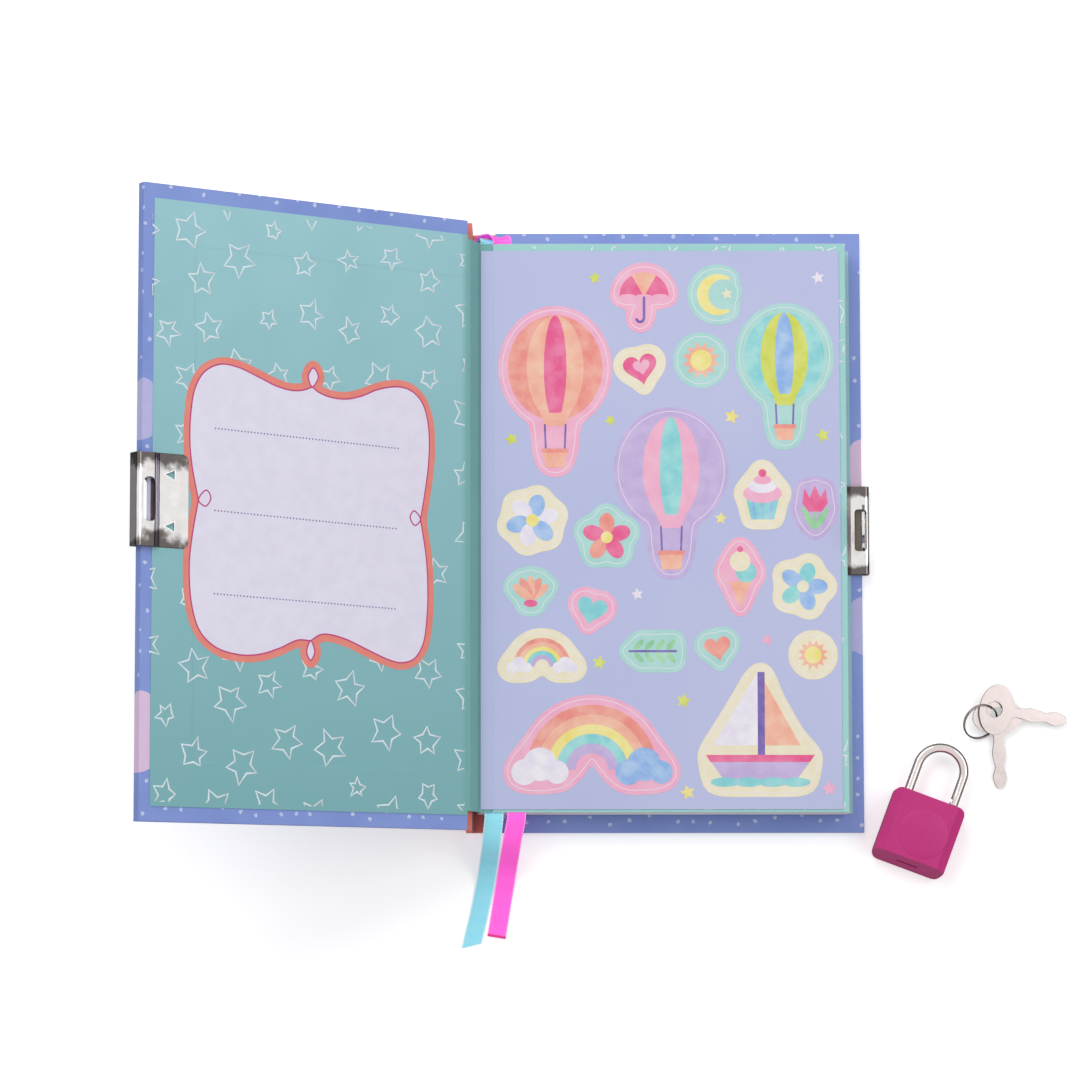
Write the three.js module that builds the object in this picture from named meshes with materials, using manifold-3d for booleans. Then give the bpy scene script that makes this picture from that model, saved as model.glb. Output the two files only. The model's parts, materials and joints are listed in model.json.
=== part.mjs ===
// A secret diary lying open: hard cover, page block, sticker sheet, two ribbons, lock plates,
// and beside it a small padlock, popped open, and two flat keys on a ring.
// Millimetres, +Z up, +X from the spine to the fore-edge, +Y towards the head of the book.
// The origin is the centre of the back cover's underside.

import * as THREE from 'three';
import * as BufferGeometryUtils from 'three/addons/utils/BufferGeometryUtils.js';
import Module from 'manifold-3d';

const wasm = await Module();
wasm.setup();

// cover
const coverWidth = 105; // spine to fore-edge, closed
const coverHeight = 160; // head to tail
const coverGlue = 0.05; // glue line between the layers of a cover
const boardThickness = 2.2;
const wrapThickness = 0.2; // printed paper that covers the boards
const endpaperThickness = 0.17;
const boardStart = 7.6; // the boards begin this far from the spine's outer plane
const turnIn = 15; // the wrap's folded edge on the inside of a board
const foreEdgeMargin = 3; // wrap left showing round the endpaper
const headMargin = 3.8;
const hingeSetIn = 3; // hinge line from the spine's outer plane
const hingeDrop = 0.4; // hinge line below the closed cover's outer face
const openAngle = THREE.MathUtils.degToRad(145.5);

// spine
const spineBoardThickness = 1.4;
const spineHollow = 1.2; // between the spine and the back of the page block
const liningThickness = 0.2;
const liningInset = 4;
const jointWrapThickness = 0.2;
const grooveDepth = 0.5;
const grooveWidth = 2;
const grooveBend = 1; // bend radii of the strips at the two joints
const jointBend = 0.5;
const jointGap = 0.35; // between a bending strip and the board that it meets
const jointRise = 2; // the endpaper stands this far up the back of the block, then bends over
const jointFootOut = 0.1; // behind the block's back, where the endpaper starts to bend over
const jointFootIn = 0.3; // and on top of the block, where the bend ends

// page block
const blockHeight = 150.6;
const foreEdgeInset = 4.7; // page block's fore-edge inside the cover's
const signatureCount = 6;
const signatureThickness = 1.78;
const stickerThickness = 0.25;
const leafClearance = 0.08;
const closingClearance = 0.45; // between the sticker sheet and the closed front cover
const flyleafInset = 0.2; // the flyleaves are this much smaller than the block
const stickerHeadInset = 2.1;
const stickerTailInset = 0.9;
const stickerForeInset = 1.8;
const leafFoldX = 7; // the loose leaves fold this far from the spine's outer plane
const leafFoldGap = 0.1;
const glueStripStart = 3.9;
const glueStripGap = 0.7;

// ribbons
const ribbonWidth = 5;
const ribbonThickness = 0.2;
const tailGap = 0.3; // between the held ribbon and its free tail
const lyingLevel = 0.3; // middle of a ribbon that lies on the table
const ribbonTuck = 23.3; // each ribbon goes this far down inside the spine's hollow
const ribbonDrop = 5.1; // its middle in the hollow, below its level on the block

// lock plates
const plateWidth = 23.4;
const plateThickness = 0.45;
const plateReach = 1.9; // beyond the cover's fore-edge
const plateGap = 0.05; // between the outer flange and the cover
const plateFit = 0.15; // round a flange that is let in
const plateProud = 0.25; // inner flange above the endpaper
const flangeLength = 13.2; // from the fore-edge inwards
const humpRise = 1;
const humpLength = 3.4; // from the fore-edge inwards
const bendRadius = 0.8;
const flangeCorner = 1.6;
const slotLength = 11.2;
const slotWidth = 3.6;
const slotSetIn = 3.4;
const slotCorner = 1.6;
const windowWidth = 3.2;
const windowSetIn = 2;
const windowCorner = 0.9;
const toothLength = 3;
const toothWidth = 2.6;
const toothSpacing = 13;
const toothSetIn = 9.2;
const lugWidth = 10.2;
const lugThickness = 0.7;
const lugHeight = 24.2; // above the table
const lugLean = 1.9; // top leans this far towards the spine
const lugSetOut = 0.65; // middle of its foot beyond the fore-edge
const lugEye = 3.4;
const lugEyeDrop = 3.2; // middle of the eye below the top

// padlock
const lockWidth = 19.4;
const lockHeight = 19.6;
const lockDepth = 10;
const lockCorner = 2;
const lockBevelWidth = 2.3;
const lockBevelDepth = 1.5;
const lockSlant = 2.4; // the bottom face leans in by this much from back to front
const lockWall = 2; // front and back
const lockSideWall = 1.8;
const lockTopWall = 2;
const lockBottomWall = 3.6; // measured at the back edge
const lockBackLip = 1.7; // the opening in the back is this much narrower than the cavity
const lockFit = 0.15;
const lockSetOut = 13.9; // middle of the lock beyond the cover's fore-edge
const lockSetDown = 0.3; // and beyond its tail edge
const lockYaw = THREE.MathUtils.degToRad(-20.5);
const shackleWire = 2.4;
const shackleSpan = 12.4; // between the middles of the legs
const shackleRise = 15; // above the body, popped open
const shackleFit = 0.2;
const legDepth = 9; // of the long leg inside the body, popped open
const legLift = 0.4; // short leg's end above the body
const notchDepth = 0.7;
const notchWidth = 0.9;
const notchSetIn = 0.5;
const keyholeWidth = 5.7;
const keyholeHeight = 1.3;
const latchThickness = 0.6;
const latchDepth = 3.2;
const latchStem = 10;
const latchStemX = -2.1;
const latchDraw = 0.3; // drawn back this far from the short leg
const latchDrop = 0.4; // below the top of the cavity
const ribThickness = 0.7;
const ribX = -3.9;
const leafSpringThickness = 0.25;
const leafSpringBow = 0.45;
const leafSpringGap = 0.12;
const springWire = 0.4;
const springRadius = 1.1;
const springCurls = 5;
const springGap = 0.3;
const retainerThickness = 0.5;
const retainerLip = 0.35; // beyond the wire all round

// keys and ring
const keyThickness = 0.7;
const keyGap = 0.25;
const bowHeight = 13.4; // across the blade
const bowLength = 9.2; // along the blade
const bowSetOut = 0.55; // middle of the bow from the middle of its hole
const neckSpread = 1.15; // the bow's outline starts this much wider than the blade
const keyHole = 4.2;
const keySlackX = 0.15; // each key hangs off the ring's wire by this much
const keySlackY = 0.255;
const ringRadius = 4.8; // to the middle of the wire
const ringWire = 0.8;
const ringSetOut = 30.9; // middle of the ring beyond the cover's fore-edge
const ringSetUp = 29.2; // and up from its tail edge
const ringTilt = THREE.MathUtils.degToRad(28);
const ringTurn = THREE.MathUtils.degToRad(35);
const keySlope = 0.1; // ring and keys lean together towards the lower right
const keyAYaw = THREE.MathUtils.degToRad(-9);
const keyBYaw = THREE.MathUtils.degToRad(-87.5);
const keyClearance = 0.1; // lowest point above the table

// half widths of the key's wavy blade, by distance from the middle of the bow's hole
const bladeWave = [[5.6, 1.3], [6.6, 1.2], [8.2, 1.45], [10.15, 1.8], [12, 1.5], [13.75, 1.15],
  [15, 1.45], [16.45, 1.85], [17.9, 1.5], [19.1, 1], [19.5, 0.5]];

// levels that follow from the sizes above
const boardBase = wrapThickness + coverGlue;
const boardTop = boardBase + boardThickness;
const turnInTop = boardTop + coverGlue + wrapThickness;
const coverThickness = turnInTop + coverGlue / 2 + endpaperThickness;
const blockBase = coverThickness + endpaperThickness + 2 * leafClearance;
const blockTop = blockBase + signatureCount * signatureThickness;
const blueLevel = blockTop + leafClearance + ribbonThickness / 2;
const pinkLevel = blueLevel + leafClearance + ribbonThickness;
const flyleafBase = pinkLevel + leafClearance + ribbonThickness / 2;
const stickerBase = flyleafBase + endpaperThickness + leafClearance;
const frontInner = stickerBase + stickerThickness + closingClearance;
const bookThickness = frontInner + coverThickness;
const hingeZ = bookThickness - hingeDrop;
const spineInner = wrapThickness + spineBoardThickness + coverGlue;
const blockSpine = spineInner + spineHollow + liningThickness + coverGlue;
const blockFore = coverWidth - foreEdgeInset;
const halfHeight = coverHeight / 2;
const halfBlock = blockHeight / 2;

const paper = (color) => new THREE.MeshStandardMaterial({ color, roughness: 0.75, metalness: 0 });
const materials = {
  board: paper(0xb8ab97),
  wrap: paper(0x7f95d6),
  spineWrap: paper(0xee8274),
  endpaper: paper(0x8cc4c2),
  page: paper(0xe9e5f2),
  sticker: new THREE.MeshStandardMaterial({ color: 0xbcc1e4, roughness: 0.45, metalness: 0 }),
  ribbonBlue: new THREE.MeshStandardMaterial({ color: 0x8ccbe8, roughness: 0.4, metalness: 0 }),
  ribbonPink: new THREE.MeshStandardMaterial({ color: 0xff5cd0, roughness: 0.4, metalness: 0 }),
  steel: new THREE.MeshStandardMaterial({ color: 0xe8e4e2, roughness: 0.15, metalness: 1 }),
  lock: new THREE.MeshStandardMaterial({ color: 0xd02a86, roughness: 0.3, metalness: 0 }),
};

// Extents are given as [low, high] along each axis.
function block([x0, x1], [y0, y1], [z0, z1]) {
  const geometry = new THREE.BoxGeometry(x1 - x0, y1 - y0, z1 - z0);
  geometry.translate((x0 + x1) / 2, (y0 + y1) / 2, (z0 + z1) / 2);
  return geometry;
}

function toSolid(geometry) {
  const plain = geometry.clone();
  plain.deleteAttribute('normal');
  plain.deleteAttribute('uv');
  const merged = BufferGeometryUtils.mergeVertices(plain, 1e-5);
  return new wasm.Manifold(new wasm.Mesh({
    numProp: 3,
    vertProperties: new Float32Array(merged.attributes.position.array),
    triVerts: new Uint32Array(merged.index.array),
  }));
}

function toGeometry(solid) {
  const mesh = solid.getMesh();
  const geometry = new THREE.BufferGeometry();
  geometry.setAttribute('position', new THREE.BufferAttribute(mesh.vertProperties, 3));
  geometry.setIndex(new THREE.BufferAttribute(mesh.triVerts, 1));
  geometry.computeVertexNormals();
  return geometry;
}

function cut(geometry, ...tools) {
  let solid = toSolid(geometry);
  for (const tool of tools) {
    solid = solid.subtract(toSolid(tool));
  }
  return toGeometry(solid);
}

function join(geometry, ...others) {
  let solid = toSolid(geometry);
  for (const other of others) {
    solid = solid.add(toSolid(other));
  }
  return toGeometry(solid);
}

function mesh(name, geometry, material) {
  const made = new THREE.Mesh(geometry, material);
  made.name = name;
  return made;
}

// A profile drawn in X and Z, drawn out along Y from -width / 2 to width / 2.
function drawAlongY(points, width) {
  const shape = new THREE.Shape(points.map(([x, z]) => new THREE.Vector2(x, z)));
  const geometry = new THREE.ExtrudeGeometry(shape, { depth: width, bevelEnabled: false });
  geometry.rotateX(Math.PI / 2);
  geometry.translate(0, width / 2, 0);
  return geometry;
}

// A shape in X and Y, drawn out along Z.
function drawAlongZ(shape, z0, z1, segments = 8) {
  const settings = { depth: z1 - z0, bevelEnabled: false, curveSegments: segments };
  const geometry = new THREE.ExtrudeGeometry(shape, settings);
  geometry.translate(0, 0, z0);
  return geometry;
}

function roundedRectangle(x0, x1, y0, y1, radius) {
  const shape = new THREE.Shape();
  shape.moveTo(x0 + radius, y0);
  shape.lineTo(x1 - radius, y0);
  shape.absarc(x1 - radius, y0 + radius, radius, -Math.PI / 2, 0);
  shape.lineTo(x1, y1 - radius);
  shape.absarc(x1 - radius, y1 - radius, radius, 0, Math.PI / 2);
  shape.lineTo(x0 + radius, y1);
  shape.absarc(x0 + radius, y1 - radius, radius, Math.PI / 2, Math.PI);
  shape.lineTo(x0, y0 + radius);
  shape.absarc(x0 + radius, y0 + radius, radius, Math.PI, 1.5 * Math.PI);
  return shape;
}

// Corner points with each inner corner turned into a bend.
function bendPath(corners, radius, steps = 4) {
  const path = [corners[0]];
  for (let i = 1; i < corners.length - 1; i += 1) {
    const here = new THREE.Vector2(...corners[i]);
    const before = new THREE.Vector2(...corners[i - 1]);
    const after = new THREE.Vector2(...corners[i + 1]);
    const set = Math.min(radius, 0.45 * here.distanceTo(before), 0.45 * here.distanceTo(after));
    const start = here.clone().lerp(before, set / here.distanceTo(before));
    const end = here.clone().lerp(after, set / here.distanceTo(after));
    const bend = new THREE.QuadraticBezierCurve(start, here, end);
    path.push(...bend.getPoints(steps).map((p) => [p.x, p.y]));
  }
  path.push(corners[corners.length - 1]);
  return path;
}

// The outline of a sheet of this thickness whose middle line follows the path.
function sheetOutline(path, thickness) {
  const left = [];
  const right = [];
  path.forEach((point, i) => {
    const here = new THREE.Vector2(...point);
    const into = i > 0
      ? here.clone().sub(new THREE.Vector2(...path[i - 1])).normalize() : null;
    const out = i < path.length - 1
      ? new THREE.Vector2(...path[i + 1]).sub(here).normalize() : null;
    const along = (into ?? out).clone().add(out ?? into).normalize();
    const spread = (thickness / 2) / along.dot(into ?? out);
    const side = new THREE.Vector2(-along.y, along.x).multiplyScalar(spread);
    left.push([here.x + side.x, here.y + side.y]);
    right.unshift([here.x - side.x, here.y - side.y]);
  });
  return [...left, ...right];
}

// A flat ribbon or strip: rings of four corners round the middle line.
function stripGeometry(route, width, thickness, steps) {
  const centres = new THREE.CatmullRomCurve3(route.map((r) => new THREE.Vector3(...r.at)));
  const acrosses = new THREE.CatmullRomCurve3(route.map((r) => new THREE.Vector3(...r.across)));
  const positions = [];
  const faces = [];
  for (let i = 0; i <= steps; i += 1) {
    const t = i / steps;
    const along = centres.getTangent(t);
    const across = acrosses.getPoint(t);
    across.addScaledVector(along, -across.dot(along)).normalize().multiplyScalar(width / 2);
    const up = new THREE.Vector3().crossVectors(along, across).normalize()
      .multiplyScalar(thickness / 2);
    for (const [a, u] of [[-1, -1], [1, -1], [1, 1], [-1, 1]]) {
      const p = centres.getPoint(t).addScaledVector(across, a).addScaledVector(up, u);
      positions.push(p.x, p.y, p.z);
    }
  }
  const quad = (a, b, c, d) => faces.push(a, b, c, a, c, d);
  for (let i = 0; i < steps; i += 1) {
    for (let k = 0; k < 4; k += 1) {
      const a = 4 * i + k;
      const b = 4 * i + ((k + 1) % 4);
      quad(a, b, b + 4, a + 4);
    }
  }
  quad(3, 2, 1, 0);
  const last = 4 * steps;
  quad(last, last + 1, last + 2, last + 3);
  const geometry = new THREE.BufferGeometry();
  geometry.setAttribute('position', new THREE.Float32BufferAttribute(positions, 3));
  geometry.setIndex(faces);
  geometry.computeVertexNormals();
  return geometry;
}

// A cover in its own frame: outer face at z = 0, inner face up, X from the spine.
function coverBoard(...tools) {
  const end = halfHeight - boardBase;
  const slab = block(
    [boardStart + boardBase, coverWidth - boardBase],
    [-end, end],
    [boardBase, boardTop],
  );
  return cut(slab, ...tools);
}

// The printed paper: a tray round the board, with its edges turned in.
function coverWrap(...tools) {
  const end = halfHeight - wrapThickness;
  const skin = block([boardStart, coverWidth], [-halfHeight, halfHeight], [0, turnInTop]);
  const core = block(
    [boardStart + wrapThickness, coverWidth - wrapThickness],
    [-end, end],
    [wrapThickness, turnInTop - wrapThickness],
  );
  const opening = block(
    [boardStart - 1, coverWidth - turnIn],
    [-halfHeight + turnIn, halfHeight - turnIn],
    [boardTop, turnInTop + 1],
  );
  return cut(skin, core, opening, ...tools);
}

// Room for a plate's inner flange, let into the endpaper and the turned-in paper.
function innerPocket(flange) {
  const half = plateWidth / 2 + plateFit;
  return block(
    [coverWidth - flange - plateFit, coverWidth + 1],
    [-half, half],
    [boardTop + coverGlue / 2, turnInTop + 2],
  );
}

// The back cover's underside is let in for its plate's flange, so that the book lies flat.
function outerPocket() {
  const half = plateWidth / 2 + plateFit;
  return block(
    [coverWidth - flangeLength - plateFit, coverWidth + 1],
    [-half, half],
    [-1, plateThickness + plateFit],
  );
}

// The slot at the fore-edge of the front cover, for the other plate's lug.
function slotTool(extra) {
  const x0 = coverWidth - slotSetIn - extra;
  const x1 = x0 + slotWidth + 2 * extra;
  const half = slotLength / 2 + extra;
  const shape = roundedRectangle(x0, x1, -half, half, slotCorner);
  return drawAlongZ(shape, -5, coverThickness + 5, 5);
}

// The lug comes up through this window in the back plate's inner side.
function windowTool() {
  const x0 = coverWidth - windowSetIn;
  const half = slotLength / 2;
  const shape = roundedRectangle(x0, x0 + windowWidth, -half, half, windowCorner);
  return drawAlongZ(shape, coverThickness / 2, coverThickness + 5, 5);
}

// Sheet metal bent round the fore-edge, from its inner flange over a hump to its outer flange.
function plateSheet(innerFlange, outerZ) {
  const half = plateThickness / 2;
  const flangeZ = coverThickness + plateProud - half;
  const humpZ = flangeZ + humpRise;
  const wall = coverWidth + plateReach - half;
  const corners = [
    [coverWidth - humpLength - humpRise, flangeZ],
    [coverWidth - humpLength, humpZ],
    [wall, humpZ],
    [wall, outerZ],
    [coverWidth - flangeLength, outerZ],
  ];
  if (innerFlange > humpLength + humpRise) {
    corners.unshift([coverWidth - innerFlange, flangeZ]);
  }
  return drawAlongY(sheetOutline(bendPath(corners, bendRadius), plateThickness), plateWidth);
}

// Takes the square corners off a flange's free end.
function cornerTools(z0, z1) {
  const end = coverWidth - flangeLength;
  return [-1, 1].map((side) => {
    const y = side * plateWidth / 2;
    const inY = y - side * flangeCorner;
    const inX = end + flangeCorner;
    const shape = new THREE.Shape();
    shape.moveTo(end - 1, y + side);
    shape.lineTo(inX, y + side);
    shape.lineTo(inX, y);
    shape.absarc(inX, inY, flangeCorner, side * Math.PI / 2, Math.PI, side < 0);
    shape.lineTo(end - 1, inY);
    return drawAlongZ(shape, z0, z1, 5);
  });
}

// Two triangles, where teeth are punched down into the board.
function toothTools() {
  return [-1, 1].map((side) => {
    const y = side * toothSpacing / 2;
    const x = coverWidth - toothSetIn;
    const shape = new THREE.Shape();
    shape.moveTo(x + toothLength, y);
    shape.lineTo(x, y + toothWidth / 2);
    shape.lineTo(x, y - toothWidth / 2);
    return drawAlongZ(shape, coverThickness / 2, coverThickness + 2);
  });
}

function haspPlate() {
  return cut(
    plateSheet(flangeLength, -plateGap - plateThickness / 2),
    slotTool(0),
    ...cornerTools(-2, coverThickness + 2),
    ...toothTools(),
  );
}

// A tall lug with an eye. The front plate drops over it when the diary is closed.
function lugGeometry() {
  const half = lugThickness / 2;
  const foot = coverWidth + lugSetOut;
  const bottom = plateThickness / 2;
  const strip = drawAlongY([
    [foot - half, bottom],
    [foot + half, bottom],
    [foot + half - lugLean, lugHeight],
    [foot - half - lugLean, lugHeight],
  ], lugWidth);
  const arch = lugHeight - lugWidth / 2;
  const outline = new THREE.Shape();
  outline.moveTo(-lugWidth / 2, 0);
  outline.lineTo(lugWidth / 2, 0);
  outline.lineTo(lugWidth / 2, arch);
  outline.absarc(0, arch, lugWidth / 2, 0, Math.PI);
  const eye = new THREE.Path();
  eye.absarc(0, lugHeight - lugEyeDrop, lugEye / 2, 0, 2 * Math.PI);
  outline.holes.push(eye);
  const reach = lugLean + 2 * lugThickness;
  const face = drawAlongZ(outline, -reach, reach, 10);
  face.rotateX(Math.PI / 2);
  face.rotateZ(Math.PI / 2);
  face.translate(foot, 0, 0);
  return toGeometry(toSolid(strip).intersect(toSolid(face)));
}

function staplePlate() {
  const sheet = cut(
    plateSheet(0, plateThickness / 2),
    windowTool(),
    ...cornerTools(-1, plateThickness + 0.3),
  );
  return join(sheet, lugGeometry());
}

// Pastedown and flyleaf of the back cover: one sheet, folded at the spine.
function backEndpaper() {
  const half = endpaperThickness / 2;
  const fold = blockSpine + half;
  const pastedZ = coverThickness - half;
  const leafZ = coverThickness + leafClearance + half;
  const path = [
    [coverWidth - foreEdgeMargin, pastedZ],
    [fold, pastedZ],
    [fold, leafZ],
    [blockFore - flyleafInset, leafZ],
  ];
  const sheet = drawAlongY(sheetOutline(path, endpaperThickness), blockHeight - 2 * flyleafInset);
  return cut(sheet, innerPocket(humpLength + humpRise));
}

function backCover() {
  const recess = outerPocket();
  const pocket = innerPocket(humpLength + humpRise);
  return [
    mesh('back_board', coverBoard(recess), materials.board),
    mesh('back_wrap', coverWrap(recess, pocket), materials.wrap),
    mesh('back_endpaper', backEndpaper(), materials.endpaper),
    mesh('staple_plate', staplePlate(), materials.steel),
  ];
}

function frontPastedown() {
  const end = halfHeight - headMargin;
  const sheet = block(
    [boardStart, coverWidth - foreEdgeMargin],
    [-end, end],
    [turnInTop + coverGlue / 2, coverThickness],
  );
  return cut(sheet, innerPocket(flangeLength));
}

// Built closed, outer face up, then opened about the hinge line.
function frontCover() {
  const notch = slotTool(plateFit);
  const parts = [
    mesh('front_board', coverBoard(notch), materials.board),
    mesh('front_wrap', coverWrap(notch, innerPocket(flangeLength)), materials.wrap),
    mesh('front_pastedown', frontPastedown(), materials.endpaper),
    mesh('hasp_plate', haspPlate(), materials.steel),
  ];
  const turned = new THREE.Group();
  turned.add(...parts);
  turned.rotation.x = Math.PI;
  turned.position.set(-hingeSetIn, 0, bookThickness - hingeZ);
  const hinge = new THREE.Group();
  hinge.add(turned);
  hinge.position.set(hingeSetIn, 0, hingeZ);
  hinge.rotation.y = -openAngle;
  return hinge;
}

// Where a point of the closed book's section goes when the front cover is open.
function opened(x, z) {
  const p = new THREE.Vector2(x - hingeSetIn, z - hingeZ).rotateAround(new THREE.Vector2(), openAngle);
  return [p.x + hingeSetIn, p.y + hingeZ];
}

function spine() {
  const end = halfHeight - boardBase;
  const board = block(
    [boardBase, spineInner - coverGlue],
    [-end, end],
    [boardBase, bookThickness - boardBase],
  );
  const skin = block([0, spineInner], [-halfHeight, halfHeight], [0, bookThickness]);
  const core = block(
    [wrapThickness, spineInner + 1],
    [-halfHeight + wrapThickness, halfHeight - wrapThickness],
    [wrapThickness, bookThickness - wrapThickness],
  );
  const liningX = spineInner + spineHollow;
  const lining = block(
    [liningX, liningX + liningThickness],
    [-halfBlock + liningInset, halfBlock - liningInset],
    [blockBase, blockTop],
  );
  return [
    mesh('spine_board', board, materials.board),
    mesh('spine_wrap', cut(skin, core), materials.spineWrap),
    mesh('spine_lining', lining, materials.page),
  ];
}

// The strips that bend at the two cover joints. At the back the wrap dips into a groove; at the
// front both papers stand up to the open cover, and the endpaper runs on under the flyleaf.
function joints() {
  const half = jointWrapThickness / 2;
  const middle = (spineInner + boardStart) / 2;
  const backPath = [
    [spineInner + coverGlue, half],
    [middle - grooveWidth / 2, half + grooveDepth],
    [middle + grooveWidth / 2, half + grooveDepth],
    [boardStart - coverGlue, half],
  ];
  const [outerX, outerZ] = opened(boardStart, bookThickness);
  const frontPath = [
    [spineInner, bookThickness + half + jointGap / 2],
    [spineInner / 3, bookThickness + half + jointGap],
    [(outerX + jointGap) / 2, (bookThickness + outerZ) / 2],
    [outerX + jointGap, outerZ - jointGap],
  ];
  const [innerX, innerZ] = opened(boardStart, frontInner);
  const stubZ = flyleafBase + endpaperThickness / 2;
  const paperPath = [
    [innerX + jointGap, innerZ - jointGap],
    [blockSpine - jointFootOut, stubZ + jointRise],
    [blockSpine + jointFootIn, stubZ],
    [leafFoldX - leafFoldGap, stubZ],
  ];
  const strip = (path, thickness, bend) => sheetOutline(bendPath(path, bend), thickness);
  return [
    mesh('back_joint_wrap', drawAlongY(strip(backPath, jointWrapThickness, grooveBend), coverHeight),
      materials.spineWrap),
    mesh('front_joint_wrap', drawAlongY(strip(frontPath, jointWrapThickness, jointBend), coverHeight),
      materials.spineWrap),
    mesh('front_joint_endpaper', drawAlongY(strip(paperPath, endpaperThickness, jointBend),
      blockHeight - 2 * flyleafInset), materials.endpaper),
  ];
}

// A folded section of the page block, with its fold rounded at the spine.
function signature(index) {
  const z0 = blockBase + index * signatureThickness;
  const radius = signatureThickness / 2;
  const shape = new THREE.Shape();
  shape.moveTo(blockFore, z0);
  shape.lineTo(blockFore, z0 + signatureThickness);
  shape.lineTo(blockSpine + radius, z0 + signatureThickness);
  shape.absarc(blockSpine + radius, z0 + radius, radius, Math.PI / 2, 1.5 * Math.PI);
  const points = shape.getPoints(5).map((p) => [p.x, p.y]);
  return mesh(`signature_${index + 1}`, drawAlongY(points, blockHeight), materials.page);
}

function pageBlock() {
  const end = halfBlock - flyleafInset;
  const flyleaf = block(
    [leafFoldX + leafFoldGap, blockFore - flyleafInset],
    [-end, end],
    [flyleafBase, flyleafBase + endpaperThickness],
  );
  const stickerPiece = (x0, x1) => block(
    [x0, x1],
    [-halfBlock + stickerTailInset, halfBlock - stickerHeadInset],
    [stickerBase, stickerBase + stickerThickness],
  );
  const signatures = Array.from({ length: signatureCount }, (_, i) => signature(i));
  const strip = stickerPiece(glueStripStart, leafFoldX - glueStripGap);
  const sheet = stickerPiece(leafFoldX + leafFoldGap, blockFore - stickerForeInset);
  return [
    ...signatures,
    mesh('star_flyleaf', flyleaf, materials.endpaper),
    mesh('sheet_glue_strip', strip, materials.sticker),
    mesh('sticker_sheet', sheet, materials.sticker),
  ];
}

// Each ribbon comes out of the spine's hollow, over the head of the block and under the flyleaf,
// and its tail hangs over the foot of the book to the table. A held point is x from the back of
// the block, y beyond the block's head, z from the ribbon's level, and the widthways direction.
// A tail point is x from the back of the block, y beyond its foot, height as a share of the
// ribbon's level, and how far the widthways direction turns.
const ribbons = {
  blue: {
    level: blueLevel,
    held: [
      [-0.6, -ribbonTuck, -ribbonDrop, [0, 0, 1]],
      [-0.6, -ribbonTuck / 2, -ribbonDrop, [0, 0, 1]],
      [-0.6, -3.3, -ribbonDrop, [0, 0, 1]],
      [-0.6, -0.5, -ribbonDrop, [0, 0, 1]],
      [0.1, 0.75, -4.4, [0.1, -0.15, 1]],
      [1.5, 1.25, -2.7, [0, -0.1, 1]],
      [2.6, 1.2, -1, [-0.75, 0, 0.65]],
      [3.1, 0.5, -0.05, [-1, 0, 0.05]],
      [3.1, -0.3, 0, [-1, 0, 0]],
      [3.1, -1.8, 0, [-1, 0, 0]],
      [3.4, -0.2 * blockHeight, 0, [-1, 0, 0]],
      [3.9, -0.6 * blockHeight, 0, [-1, 0, 0]],
      [4.3, -blockHeight, 0, [-1, 0, 0]],
    ],
    tail: [
      [4.3, 0, 1, 0],
      [4.25, 1.5, 0.996, 0],
      [4, 3.7, 0.95, 0],
      [3.7, 6.5, 0.856, 0],
      [3.4, 9, 0.704, 0],
      [3.1, 10.95, 0.493, 0.05],
      [2.8, 12.9, 0.283, 0.1],
      [2.4, 15.4, 0.13, 0.15],
      [1.85, 18.4, 0.033, 0.17],
      [1.15, 21.7, 0, 0.2],
      [0.2, 26.2, 0, 0.22],
      [-0.9, 30.7, 0, 0.24],
      [-2, 35.3, 0, 0.25],
    ],
  },
  pink: {
    level: pinkLevel,
    held: [
      [-1.2, -ribbonTuck, -ribbonDrop, [0, 0, 1]],
      [-1.2, -ribbonTuck / 2, -ribbonDrop, [0, 0, 1]],
      [-1.2, -3.3, -ribbonDrop, [0, 0, 1]],
      [-1.15, 0.1, -ribbonDrop, [0, 0, 1]],
      [-0.1, 2.7, -4.2, [0, 0, 1]],
      [1.9, 3.9, -2.2, [-0.2, 0, 1]],
      [4.5, 3.7, -0.8, [-0.7, 0, 0.7]],
      [6.1, 2.2, -0.05, [-1, 0, 0.15]],
      [6.4, 0.9, 0, [-1, 0, 0]],
      [6.4, -0.3, 0, [-1, 0, 0]],
      [6.4, -1.8, 0, [-1, 0, 0]],
      [7.1, -0.2 * blockHeight, 0, [-1, 0, 0]],
      [8.7, -0.6 * blockHeight, 0, [-1, 0, 0]],
      [10.2, -blockHeight, 0, [-1, 0, 0]],
    ],
    tail: [
      [10.2, 0, 1, 0],
      [10.1, 1.5, 0.996, 0.03],
      [9.7, 3.7, 0.947, 0.07],
      [9.1, 6.5, 0.847, 0.1],
      [8.65, 9, 0.69, 0.12],
      [8.3, 10.95, 0.484, 0.14],
      [7.95, 12.9, 0.277, 0.15],
      [7.55, 15.4, 0.128, 0.16],
      [7.05, 18.4, 0.033, 0.16],
      [6.5, 21.7, 0, 0.16],
      [5.7, 26.7, 0, 0.16],
      [4.85, 31.9, 0, 0.16],
    ],
  },
};

function ribbonMeshes(colour, material) {
  const { level, held, tail } = ribbons[colour];
  const heldRoute = held.map(([x, y, z, across]) => (
    { at: [blockSpine + x, halfBlock + y, level + z], across }
  ));
  const tailRoute = tail.map(([x, y, share, turn]) => ({
    at: [blockSpine + x, -halfBlock - tailGap - y, lyingLevel + share * (level - lyingLevel)],
    across: [-1, turn, 0],
  }));
  const strip = (route, steps) => stripGeometry(route, ribbonWidth, ribbonThickness, steps);
  return [
    mesh(`ribbon_${colour}`, strip(heldRoute, 72), material),
    mesh(`ribbon_${colour}_tail`, strip(tailRoute, 28), material),
  ];
}

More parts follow.
